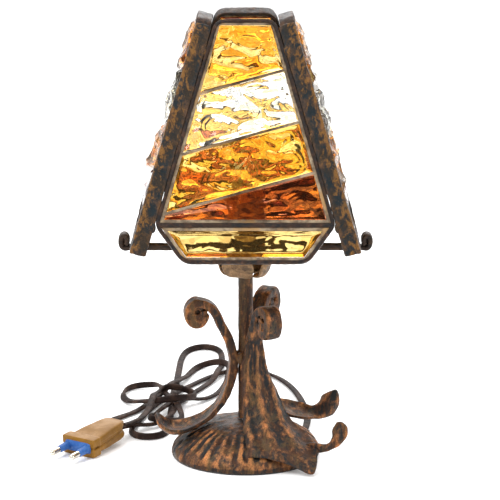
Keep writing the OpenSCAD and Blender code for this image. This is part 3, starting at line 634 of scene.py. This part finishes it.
# ---- Stem ----
# A round iron tube, lightly hammered, that stands on the dome's land.
# The flex runs up inside it, and the stalks and the cup are brazed to it.
stem_d, stem_top = 11.4, 161.7
stem_rows = [[0, 0, z, stem_d, stem_d, 0, 0] for z in (dome_h, stem_top)]
stem = drawn_out("stem", stem_rows, (1, 0, 0), 2.5, 24, square=0.95)
fitted(beat(stem, "stem", 7, 0.35, 0.35, 2.2), "stand", "stem_tube", slot="forged_iron")

# ---- Brazed lumps ----
# Bronze run into the three corners where the stalks touch the stem.
# It is left as rough as it set.
braze = patina("braze", (0.085, 0.040, 0.020), (0.035, 0.022, 0.016), (0.14, 0.08, 0.03), (0.36, 0.145, 0.055))


def drop(middle, halves, rows, around):
    """A set drop of metal."""
    lat, lon = np.radians(np.linspace(-88, 88, rows))[:, None], 2 * np.pi * np.arange(around)[None] / around
    ball = np.stack([np.cos(lat) * np.cos(lon), np.cos(lat) * np.sin(lon), np.sin(lat) + 0 * lon], axis=2)
    return solid("drop", (np.array(middle) + np.array(halves) * ball).reshape(-1, 3), walls(rows, around))


lumps = []
for turn, size in [(-27, 4.6), (90, 4.2), (215, 4.4)]:
    lump = drop((6.4, 0, weld_z), (0.9 * size, size, 1.2 * size), 17, 24)
    lumps.append(reshaped(lump, lambda points: turned_about(points, turn - 90)))
lump = beat(gathered("lumps", lumps), "braze_lumps", 3.5, 0.9, 1.6, 4.4, braze)
fitted(lump, "stand", "stalk_welds", slot="braze")

# ---- Cup ----
# Four petals of thin sheet iron, beaten hollow.
# They are brazed round the top of the stem under the cross rod.
cup_low, cup_high, cup_r, cup_wall, stem_r = 141.4, 19.0, 23.0, 1.4, 5.8
cup_iron = patina(
    "cup iron", (0.26, 0.155, 0.080), (0.100, 0.065, 0.040), (0.36, 0.225, 0.11), (0.60, 0.38, 0.20),
    along=(0.3, 1, 1),
)
petals = []
for k in range(4):
    up, over = np.linspace(0, 1, 17)[:, None], np.linspace(-1, 1, 23)[None]
    flare = 1 + 0.05 * np.sin(2.3 * k + 3 * over)
    half_turn = np.radians(35 + 4 * up - 10 * up**6) * over
    flat = 0.88 + 0.12 * (1 / np.cos(half_turn) - 1) / 0.22
    out = stem_r + 0.1 + (cup_r - 1.4 - stem_r) * np.sin(up * math.pi / 2) ** 0.42 * flare * flat
    rise = cup_low + cup_wall / 2 + (cup_high - 2.4) * (1 - np.cos(up * math.pi / 2))
    rise = rise - 1.6 * up**3 * np.abs(over) ** 3
    about = half_turn + math.radians(90 * k)
    mid = np.stack([out * np.cos(about), out * np.sin(about), rise + 0 * over], axis=-1)
    half = cup_wall / 2 * unit(np.cross(np.gradient(mid, axis=1), np.gradient(mid, axis=0)))
    points, faces, _ = two_faced(mid + half, mid - half)
    petals.append(solid("petal", turned_about(points, -110), faces))
cup = beat(gathered("petals", petals), "petal_cup", 6, 0.9, 1.4, 8.1, cup_iron)
fitted(cup, "stand", "cup", slot="forged_iron")

# ---- Cross rod ----
# A round bar with its ends flattened and rolled up into small curls, and its middle flattened into an
# eye that is clamped between the stem and the lampholder. The shade rests on it.
rod_iron = patina(
    "rod iron", (0.036, 0.022, 0.015), (0.017, 0.015, 0.014), (0.07, 0.04, 0.02), (0.22, 0.13, 0.085),
    rubbed=0.6, along=(0.3, 1, 1),
)
rod_z, rod_d, curl_w, curl_x, curl_r, curl_half = 163.8, 5.6, 13.0, 91.8, 7.9, 5.2
curl_z = rod_z + curl_r - rod_d / 2
rows = []
for a in range(250, -91, -10):
    wide_half, tall_half = [h - 2.2 - (h - 3) * 0.5 * (a + 90) / 340 for h in (curl_half, curl_r)]
    rows.append([
        curl_x + wide_half * math.cos(math.radians(a)), 0,
        curl_z + tall_half * math.sin(math.radians(a)), curl_w, 4.4, 0, 0,
    ])
flattened = [(86, 11, 3.6), (81, 7.5, 5), (77, 5.8, rod_d), (40, rod_d, rod_d), (0, rod_d, rod_d)]
rows += [[x, 0, rod_z, w, t, 0, 0] for x, w, t in flattened]
half_rod = np.array(rows, float)
mirrored = half_rod[:-1][::-1] * [-1, 1, 1, 1, 1, 1, 1]
bar = drawn_out("rod", np.vstack([half_rod, mirrored]), (0, 1, 0), 1.2, 24, square=0.6)
hearts = [
    drawn_out("heart", [[x, y, curl_z, 5.4, 9, 0, 0] for y in (-4, 4)], (1, 0, 0), square=0.8)
    for x in (-curl_x, curl_x)
]
eye_profile = np.array([[5.2, -2], [10.2, -2], [11, -1.2], [11, 1.2], [10.2, 2], [5.2, 2]])
eye = turned("eye", eye_profile + [0, rod_z], 72)
rod = beat(gathered("rod", [bar, eye, *hearts]), "curled_rod", 6, 0.3, 0.4, 6.6, rod_iron)
fitted(rod, "stand", "cross_rod", slot="rod_iron")

# ---- Panel frames ----
# Each side of the shade is a frame of iron strip on edge, bent to six corners and welded, with a rail at its
# widest line. It is drawn flat here, with X to the right, Y up the slope from that line and Z outwards, and
# then stood up on its side of the lamp.
side_half, wide_z, slope_len, post_w = 77.6, 199.0, 149.19, 12.0
lean, corner_lean = math.radians(16.59), math.radians(15.93)
strip_t, strip_depth, bar_line, bottom_half, foot = 3.0, 11.0, 3.6, 45.5, -29.9
sides = ["front", "right", "back", "left"]


def stood_up(points, k):
    """From the flat panel to side k of the lamp."""
    p = np.asarray(points, float)
    up = np.array([0, math.sin(lean), math.cos(lean)])
    out = np.array([0, -math.cos(lean), math.sin(lean)])
    place = p[:, :1] * [1, 0, 0] + p[:, 1:2] * up + p[:, 2:3] * out + [0, -side_half, wide_z]
    return turned_about(place, 90 * k)


def placed(piece, k):
    """Stands a piece up on side k."""
    return reshaped(piece, lambda points: stood_up(points, k))


def frame_half(y, inset=0.0):
    """Half the width between the posts at a height up the slope, less an inset on each side."""
    return side_half - y * math.tan(corner_lean) - (post_w + inset) / math.cos(corner_lean)


frame_iron = patina(
    "frame iron", (0.034, 0.020, 0.014), (0.015, 0.015, 0.016), (0.06, 0.035, 0.018), (0.20, 0.090, 0.050),
    rubbed=0.6, along=(1, 1, 1),
)


def rounded(corners, radii):
    """A closed line with its corners rounded."""
    line = []
    for before, at, after, radius in zip(np.roll(corners, 1, 0), corners, np.roll(corners, -1, 0), radii):
        first, last = at + unit(before - at) * radius, at + unit(after - at) * radius
        line += [first * (1 - t) ** 2 + 2 * at * t * (1 - t) + last * t**2 for t in np.linspace(0, 1, 7)]
    return np.array(line)


rail_y, half_t = -bar_line / 2, strip_t / 2
wide, top = frame_half(rail_y, half_t), frame_half(slope_len, half_t)
bottom, low, high = bottom_half - half_t * 0.5, foot + half_t, slope_len - half_t
right_side = [[bottom, low], [wide, rail_y], [top, high]]
hexagon = np.array([[-bottom, low], *right_side, [-top, high], [-wide, rail_y]])
loop = rounded(hexagon, (6.5, 6.5, 3, 6.5, 6.5, 3))
strip_rows = [[*at, -strip_depth / 2, strip_depth, strip_t, 0, 0] for at in [*loop, loop[0]]]
rail_rows = [[x, rail_y, -strip_depth / 2, strip_depth, bar_line, 0, 0] for x in (-wide, wide)]
for k, side in enumerate(sides):
    strip = drawn_out("strip", strip_rows, (0, 0, 1), 2.0, 20, joined=True, square=0.3)
    rail = drawn_out("rail", rail_rows, (0, 0, 1), 2.0, 20, square=0.3)
    panel = placed(gathered("panel", [strip, rail]), k)
    panel = beat(panel, "panel_frame_" + side, 5, 0.5, 0.5, k, frame_iron)
    fitted(panel, "shade", "frame_" + side, slot="frame_iron")

# ---- Posts ----
# Hammered angle iron on the four corners, longer than the panels at both ends and held to their frames by
# tack welds. It is mottled green, black and gold, with bright rubbed ends.
post_t, post_up, post_down, tack_heights = 3.0, 153.0, 23.0, (-3.5, 62, 126)
post_iron = patina(
    "post iron", (0.030, 0.022, 0.015), (0.011, 0.018, 0.022), (0.23, 0.105, 0.024), (0.20, 0.095, 0.050),
    rubbed=0.5, patches=0.8, gilt=0.08, spots=230, along=(1, 1, 0.6),
)
post_names = ["post_front_right", "post_back_right", "post_back_left", "post_front_left"]
cos_lean, sin_lean = math.cos(corner_lean), math.sin(corner_lean)
for k, name in enumerate(post_names):
    legs = []
    for side, flip in [(k, 1), (k + 1, -1)]:
        rows = []
        for y in np.linspace(-post_down, post_up, 60):
            x = side_half - cos_lean * post_w / 2 - sin_lean * y
            rows.append([flip * x, cos_lean * y - sin_lean * post_w / 2, -post_t / 2, post_w, post_t, 0, 0])
        leg = drawn_out("leg", rows, (flip * cos_lean, sin_lean, 0), 2.2, square=0.3)
        tacks = [drop((flip * frame_half(y, -1.2), y, -1.0), (2.6, 4.4, 1.6), 9, 16) for y in tack_heights]
        legs += [placed(part, side) for part in (leg, *tacks)]
    post = beat(gathered("post", legs), "corner_" + name, 7.5, 0.7, 0.8, 2.5 + k, post_iron)
    fitted(post, "shade", name, slot="post_iron")

# ---- Glass ----
# Thick cast slabs in four colours and a straw-coloured one below, set in putty. Each is knapped on its
# outer face into shell-shaped scoops with sharp ridges between them, and is smooth behind.
glass_in, putty_edge, putty_line, stripe_turn = 5.2, 2.2, 2.0, math.radians(15.5)
glass_back, glass_proud, glass_bulge, skirt_in = 9.5, 5.0, 300.0, 0.6
stripe_rows, net_step, bevel_deep, bevel_wide = (22.7, 62.5, 103.5), 0.95, 3.2, 2.2

knapped, given = workshop("knapped", [
    ("Scoop size", "Float"), ("Scoop depth", "Float"), ("Chip size", "Float"), ("Chip depth", "Float"),
    ("Seed", "Float"), ("Glass", "Material"),
])
here = grow(knapped, "GeometryNodeInputPosition").outputs[0]
shift = grow(knapped, "ShaderNodeCombineXYZ", {0: given["Seed"], 1: 0.0, 2: given["Seed"]})
seeded = vectors(knapped, "ADD", here, shift.outputs[0])
flattened = vectors(knapped, "MULTIPLY", seeded, (0.75, 0.75, 1.35))
swirl = grow(knapped, "ShaderNodeTexNoise", {"Vector": seeded, "Scale": 60.0, "Detail": 1.0}).outputs["Color"]
swirl = vectors(knapped, "SCALE", vectors(knapped, "SUBTRACT", swirl, (0.5, 0.5, 0.5)), 0.010)
bent = vectors(knapped, "ADD", flattened, swirl)


def scoops(size, depth):
    """Hollow shells with ridges between them: the squared distance to the nearest of scattered points."""
    cell = grow(knapped, "ShaderNodeTexVoronoi", {"Vector": bent, "Scale": sums(knapped, "DIVIDE", 1.0, size)})
    far = cell.outputs["Distance"]
    return far, sums(knapped, "SUBTRACT", times(knapped, far, far, depth), times(knapped, depth, 0.45))


far, broad = scoops(given["Scoop size"], given["Scoop depth"])
ripple = grow(knapped, "ShaderNodeMath", {0: times(knapped, far, 34.0)}, operation="SINE").outputs[0]
ripple = times(knapped, given["Scoop depth"], 0.02, ripple)
small = scoops(given["Chip size"], given["Chip depth"])[1]
relief = sums(knapped, "ADD", sums(knapped, "ADD", broad, ripple), small)
way = grow(knapped, "GeometryNodeInputNamedAttribute", {"Name": "outwards"}, data_type="FLOAT_VECTOR")
push = vectors(knapped, "SCALE", way.outputs[0], relief)
struck = grow(knapped, "GeometryNodeSetPosition", {"Geometry": given["Geometry"], "Offset": push})
close(knapped, struck.outputs[0], given["Glass"], smooth=False)


def slab_glass(name, pale, body, streak, streak_share, soaked, depth):
    """Solid coloured glass. Its tint drifts between three tones, and deepens with the thickness."""
    material, tree, shader, place = surface(name, 0.0, Transmission_Weight=1.0, IOR=1.52, Specular_Tint=(*body, 1))
    drift = grain(tree, place, 30, 2, 0.5, 1.2)
    flat_lying = grow(tree, "ShaderNodeMapping", {"Vector": place, "Scale": (1, 1, 2.4)}).outputs[0]
    cloud = grain(tree, flat_lying, 38, 3, 0.5, 2.2)
    tone = dyed(tree, between(tree, drift, 0.42, 0.58), pale, body)
    low = 0.66 - 0.3 * streak_share
    tone = dyed(tree, between(tree, cloud, low, low + 0.07), tone, streak)
    dressed(tree, shader, tone, between(tree, grain(tree, place, 300), 0.3, 0.75, 0.01, 0.08))
    bumped(tree, shader, grain(tree, place, 110, 2, 0.5, 1.0), 0.0006, 0.12)
    soak = grow(tree, "ShaderNodeVolumeAbsorption", {"Color": (*soaked, 1), "Density": depth})
    tree.links.new(soak.outputs[0], tree.nodes["Material Output"].inputs["Volume"])
    return material


glasses = {
    "amber": slab_glass(
        "amber glass", (0.97, 0.84, 0.52), (0.95, 0.71, 0.25), (0.93, 0.60, 0.17), 0.4, (0.985, 0.73, 0.14), 66,
    ),
    "clear": slab_glass("clear glass", (1, 1, 1), (1, 1, 1), (1, 0.94, 0.66), 0.45, (0.90, 0.93, 0.90), 8),
    "mixed": slab_glass(
        "mixed glass", (0.97, 0.79, 0.33), (0.97, 0.72, 0.22), (0.91, 0.44, 0.11), 0.38, (0.985, 0.76, 0.16), 50,
    ),
    "red": slab_glass(
        "red glass", (0.98, 0.48, 0.16), (0.72, 0.26, 0.12), (0.20, 0.10, 0.08), 0.65, (0.96, 0.48, 0.24), 100,
    ),
    "skirt": slab_glass(
        "straw glass", (0.90, 0.74, 0.38), (0.83, 0.63, 0.26), (0.58, 0.42, 0.17), 0.45, (0.95, 0.78, 0.34), 110,
    ),
}


def slab(k, stripe, corners, level_front, sizes):
    """A closed slab on side k, over four corners [left low, right low, right high, left high] of the flat
    panel. Its rims are ground off, and from there inwards it is knapped."""
    a, b, c, d = np.array(corners, float)
    low_side, left_side, right_side = [np.linalg.norm(end - start) for start, end in ((a, b), (a, d), (b, c))]
    columns, rows = max(8, int(low_side / net_step)), max(8, int(max(left_side, right_side) / net_step))
    u, v = np.linspace(0, 1, columns)[None, :, None], np.linspace(0, 1, rows)[:, None, None]
    flat = (a * (1 - u) + b * u) * (1 - v) + (d * (1 - u) + c * u) * v
    inset = np.minimum(np.minimum(u, 1 - u) * low_side, np.minimum(v, 1 - v) * left_side)[..., 0]
    front = level_front(flat[..., 0]) - bevel_deep * np.exp(-((inset / bevel_wide) ** 2))
    back = np.full(front.shape, -glass_back)
    points, faces, net_faces = two_faced(np.dstack([flat, front]), np.dstack([flat, back]))
    piece = solid("slab", stood_up(points, k), faces)
    out = stood_up([[0, 0, 1]], k)[0] - stood_up([[0, 0, 0]], k)[0]
    free = np.r_[np.clip((inset - 0.4) / 2.5, 0, 1).ravel(), np.zeros(inset.size)]
    way = piece.data.attributes.new("outwards", "FLOAT_VECTOR", "POINT")
    way.data.foreach_set("vector", (free[:, None] * out[None]).ravel())
    piece.data.polygons.foreach_set("use_smooth", [i < net_faces for i in range(len(faces))])
    name = sides[k] + "_" + stripe
    piece = made_by(knapped, piece, "slab_" + name, {**sizes, "Glass": glasses[stripe]})
    fitted(piece, "shade", "glass_" + name, slot="glass_" + stripe)


def bulging(x):
    """How far a stripe stands out: it is a little domed across the panel."""
    return glass_proud - 1.2 - (glass_bulge - np.sqrt(glass_bulge**2 - x**2))


def sunk(x):
    """How far the flat slab at the foot stands back."""
    return np.full(x.shape, -skirt_in - 0.8)


def ends_of(y, slope):
    """The ends of a stripe's edge, from the left of the frame to its right."""
    reach, narrowing = frame_half(0, glass_in) - math.tan(corner_lean) * y, math.tan(corner_lean)
    left, right = -reach / (1 - narrowing * slope), reach / (1 + narrowing * slope)
    return (left, y + slope * left), (right, y + slope * right)


half_line = putty_line / 2 / math.cos(stripe_turn)
cuts = [(row + half_line * way, math.tan(stripe_turn)) for row in stripe_rows for way in (-1, 1)]
cuts = [(putty_edge, 0), *cuts, (slope_len - glass_in, 0)]
run = (frame_half(rail_y) - bottom_half) / (rail_y - foot)
low, high = foot + glass_in, -bar_line - putty_edge
low_half, high_half = [bottom_half + (y - foot) * run - glass_in * math.hypot(run, 1) for y in (low, high)]
skirt_corners = [(-low_half, low), (low_half, low), (high_half, high), (-high_half, high)]
stripe_sizes = {"Scoop size": 0.0175, "Scoop depth": 0.0062, "Chip size": 0.0085, "Chip depth": 0.0004}
skirt_sizes = {"Scoop size": 0.020, "Scoop depth": 0.0016, "Chip size": 0.008, "Chip depth": 0.0001}
for k in range(len(sides)):
    for row, stripe in enumerate(["red", "mixed", "clear", "amber"]):
        (left_low, right_low), (left_high, right_high) = ends_of(*cuts[2 * row]), ends_of(*cuts[2 * row + 1])
        corners = [left_low, right_low, right_high, left_high]
        slab(k, stripe, corners, bulging, {**stripe_sizes, "Seed": 0.37 * k + 0.11 * row})
    slab(k, "skirt", skirt_corners, sunk, {**skirt_sizes, "Seed": 0.29 * k + 0.05})

# ---- Putty ----
# Linseed putty round every slab, gone hard and grey-brown.
# It was pressed into the gaps and stays as it was filled in.
putty, tree, shader, place = surface("putty", Roughness=0.8)
dirt = grain(tree, place, 120, 7, 0.65)
tone = dyed(tree, between(tree, dirt, 0.4, 0.62), (0.13, 0.09, 0.055), (0.33, 0.25, 0.16))
tone = dyed(tree, between(tree, grain(tree, place, 45, 4), 0.52, 0.66), tone, (0.34, 0.20, 0.08))
dressed(tree, shader, tone)
bumped(tree, shader, grain(tree, place, 700, 6, 0.7), 0.0005, 0.7)


def coated_with(material, *nodes):
    """Puts a material on pieces whose shapes need nothing more."""
    for node in nodes:
        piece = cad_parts[node]
        piece.data.materials.clear()
        piece.data.materials.append(material)


coated_with(putty, *["putty_" + side for side in sides])

# ---- Lampholder and bulb ----
# A brass-plated screw holder with a porcelain core, screwed on the threaded tube, and a clear candle bulb
# in it: a blown glass, a glass stem inside with the filament, and a brass cap.
holder = finish(
    "holder brass", (0.50, 0.36, 0.18), (0.26, 0.17, 0.085), (160, 7, 0.65, 0.4), (0.4, 0.62), metallic=0.85,
    gloss=((160, 7, 0.65, 0.4), (0.35, 0.65, 0.24, 0.46)), relief=((900, 5), (0.0002, 0.5)),
)
porcelain = finish(
    "porcelain", (0.80, 0.77, 0.70), (0.45, 0.38, 0.29), (260, 6, 0.7), (0.55, 0.7),
    relief=((500, 3), (0.0002, 0.3)), Coat_Weight=0.6, Coat_Roughness=0.08,
)
contact = finish(
    "contact brass", (0.72, 0.52, 0.22), (0.36, 0.22, 0.10), (300, 6, 0.65), (0.45, 0.65),
    gloss=((300, 6, 0.65), (0.35, 0.65, 0.16, 0.38)), metallic=1.0,
)
bulb = finish(
    "bulb glass", (0.99, 0.99, 0.98), (0.95, 0.95, 0.93), (60, 4), (0.4, 0.7),
    gloss=((220, 5), (0.4, 0.7, 0.0, 0.06)), Transmission_Weight=1.0, IOR=1.12,
)
support = finish(
    "bulb stem", (0.88, 0.90, 0.90), (0.62, 0.66, 0.66), (300, 4), (0.4, 0.7),
    relief=((700, 4), (0.0002, 0.4)), Transmission_Weight=0.7, IOR=1.4,
)
tungsten = finish("tungsten", (0.30, 0.30, 0.31), (0.52, 0.51, 0.50), (2500, 3), (0.4, 0.6), metallic=1.0)
coated_with(holder, "holder_cap", "holder_shell")
coated_with(porcelain, "holder_core")
coated_with(contact, "screw_shell", "centre_contact", "bulb_cap")
coated_with(bulb, "bulb_glass")
coated_with(support, "bulb_mount")
coated_with(tungsten, "bulb_filament")

# ---- Under the base ----
# A felt ring glued under the rim, and a zinc-plated nut and washer that clamp the dome on the threaded tube.
# A rubber bush in the rim lets the cord in, and its lead runs up inside the stem.
felt = finish(
    "felt", (0.010, 0.010, 0.010), (0.045, 0.042, 0.040), (900, 8, 0.8), (0.4, 0.62),
    relief=((1600, 6, 0.8), (0.0005, 0.9)), Roughness=0.95, Sheen_Weight=0.4,
)
zinc, tree, shader, place = surface("zinc steel", 1.0)
spangle = grow(tree, "ShaderNodeTexVoronoi", {"Vector": place, "Scale": 420.0}).outputs["Distance"]
tone = dyed(tree, between(tree, spangle, 0.2, 0.7), (0.62, 0.62, 0.60), (0.40, 0.40, 0.40))
dressed(tree, shader, tone, between(tree, grain(tree, place, 400, 6), 0.3, 0.7, 0.25, 0.5))
rubber = finish(
    "rubber bush", (0.014, 0.013, 0.013), (0.050, 0.047, 0.044), (500, 6, 0.7), (0.4, 0.7),
    relief=((1400, 4), (0.0003, 0.6)), Roughness=0.75,
)
coated_with(felt, "base_pad")
coated_with(zinc, "base_nut", "base_washer", "threaded_tube")
coated_with(rubber, "cord_bush")
coated_with(flex, "inner_lead")

# ---- Plug ----
# A flat two-pin plug: two tan shells that meet in a seam round the sides, a blue insert with the sleeves of
# the pins, and plated pin ends. It lies on the edge of its flange, with its tail on the cord.
plug_len, plug_tilt, plug_turn, pin_half, pin_z = 50.0, math.radians(5), 235.0, 9.5, 7.5
half_seam, flange_mid = 0.26, 3.88


def on_table(points):
    """From the plug's own axes, along its pins from the tail, to its place on the table."""
    x, y, z = (points + [-plug_len, 0, 0.1]).T
    c, s = math.cos(plug_tilt), math.sin(plug_tilt)
    tilted = np.column_stack([x * c + z * s + plug_len, y, z * c - x * s])
    return turned_about(tilted, plug_turn) + [*plug_tail[:2], 0]


def moulded(name, parts, material, node, slot, smooth=True):
    """One piece of the plug from its parts."""
    piece = reshaped(gathered(name, parts), on_table)
    piece.data.polygons.foreach_set("use_smooth", [smooth] * len(piece.data.polygons))
    piece.data.materials.append(material)
    fitted(piece, "stand", node, slot=slot)
    return piece


grip = [
    [0.3, 8, 3.2], [1.0, 11.5, 4.6], [2.4, 15.2, 5.9], [5, 18.2, 6.9], [10, 20.6, 7.24], [20, 22.6, 7.24],
    [28, 25, 7.0], [36, 26.6, 6.4], [42, 27, 6.2],
]
flange = [[41, 30, 6.8], [41.8, 31, 7.2], [49.2, 31, 7.2], [50, 30, 6.8]]
shells = []
for way in (-1, 1):
    rows = [[x, 0, pin_z + way * (half_seam + t / 2), w, t, 0, 0] for x, w, t in grip]
    shells.append(drawn_out("grip", through(rows, 5), (0, 1, 0), 1.2, 40, square=0.42))
    rows = [[x, 0, pin_z + way * flange_mid, w, t, 0, 0] for x, w, t in flange]
    shells.append(drawn_out("flange", rows, (0, 1, 0), 0.8, 40, square=0.2))
core = [[x, 0, pin_z, w, 9, 0, 0] for x, w in [(1.5, 9), (4, 15), (12, 19), (30, 23.8), (42, 26), (49.6, 29.6)]]
shells.append(drawn_out("core", core, (0, 1, 0), 1.2, 24, square=0.3))
tan, tree, shader, place = surface("tan plastic", Specular_IOR_Level=0.2)
worn = grain(tree, place, 70, 6, 0.65, 0.4)
tone = dyed(tree, between(tree, worn, 0.38, 0.64), (0.28, 0.130, 0.014), (0.21, 0.096, 0.011))
scuffs = between(tree, grain(tree, place, 380, 7, 0.75), 0.58, 0.70, 0, 0.35)
tone = dyed(tree, scuffs, tone, (0.32, 0.18, 0.05))
dressed(tree, shader, tone, between(tree, worn, 0.35, 0.65, 0.32, 0.5))
bumped(tree, shader, grain(tree, place, 900, 4), 0.0002, 0.4)
face = [[x, 0, pin_z, w, t, 0, 0] for x, w, t in [(49.4, 24.4, 8.6), (50.2, 24.4, 8.6), (50.8, 23.6, 8.0)]]
blues, tips = [drawn_out("face", face, (0, 1, 0), 0.6, 40, square=0.25)], []
for y in (-pin_half, pin_half):
    for made, reach in [
        (blues, [(50.4, 7.0), (51.4, 6.2), (61.0, 5.6), (61.8, 5.0)]),
        (tips, [(61, 4.0), (61.8, 4.6), (69.2, 4.6), (70.6, 4.0), (71.4, 2.0)]),
    ]:
        rows = [[x, y, pin_z, d, d, 0, 0] for x, d in reach]
        made.append(drawn_out("pin", rows, (0, 1, 0), 0.5, 24, square=1.0))
blue = finish(
    "blue plastic", (0.028, 0.100, 0.33), (0.050, 0.145, 0.40), (240, 6, 0.7), (0.4, 0.66),
    gloss=((500,), (0.3, 0.7, 0.3, 0.45)), Specular_IOR_Level=0.2,
)
plated, tree, shader, place = surface("plated pin", 1.0)
scratched = grow(tree, "ShaderNodeMapping", {"Vector": place, "Scale": (0.4, 0.4, 3)}).outputs[0]
scratches = between(tree, grain(tree, scratched, 900, 4), 0.4, 0.6)
tone = dyed(tree, scratches, (0.78, 0.74, 0.66), (0.50, 0.44, 0.34))
dressed(tree, shader, tone, between(tree, grain(tree, scratched, 700, 4), 0.3, 0.7, 0.12, 0.3))
plug_pieces = [
    moulded("plug_shells", shells, tan, "plug_body", "plug_tan", smooth=False),
    moulded("plug_face", blues, blue, "plug_insert", "plug_blue"),
    moulded("plug_tips", tips, plated, "plug_pins", "pin_metal"),
]

# ---- Floor and light ----
# A plain white table top, a soft sky that is brighter behind, and three large panels of light.
# None of it is part of the lamp.
white = (1, 1, 1, 1)
paper = surface(
    "table top", Roughness=0.55, Base_Color=(0.93, 0.93, 0.93, 1), Emission_Color=white, Emission_Strength=0.12,
)[0]
bpy.ops.mesh.primitive_plane_add(size=30, location=(0, 0, 0))
table = bpy.context.object
table.name = "table_top"
table.data.materials.append(paper)
world = bpy.data.worlds.new("studio")
world.use_nodes = True
bpy.context.scene.world = world
sky = world.node_tree.nodes["Background"]
heading = grow(world.node_tree, "ShaderNodeTexCoord").outputs["Generated"]
depth = grow(world.node_tree, "ShaderNodeSeparateXYZ", {0: heading}).outputs[1]
world.node_tree.links.new(between(world.node_tree, depth, -0.7, 0.3, 0.6, 1.2), sky.inputs["Strength"])
sky.inputs["Color"].default_value = white
for name, spot, size, power in [
    ("key", (-0.9, -0.7, 1.5), 1.0, 26), ("fill", (1.3, -0.6, 0.9), 0.8, 9), ("back", (0.2, 1.5, 1.3), 1.6, 22)
]:
    lamp = bpy.data.lights.new(name, "AREA")
    lamp.size, lamp.energy = size, power
    panel = bpy.data.objects.new(name, lamp)
    panel.location = spot
    to_lamp = Vector((-spot[0], -spot[1], 0.12 - spot[2]))
    panel.rotation_euler = to_lamp.to_track_quat("-Z", "Y").to_euler()
    bpy.context.scene.collection.objects.link(panel)
bpy.context.scene.view_settings.view_transform = "Standard"
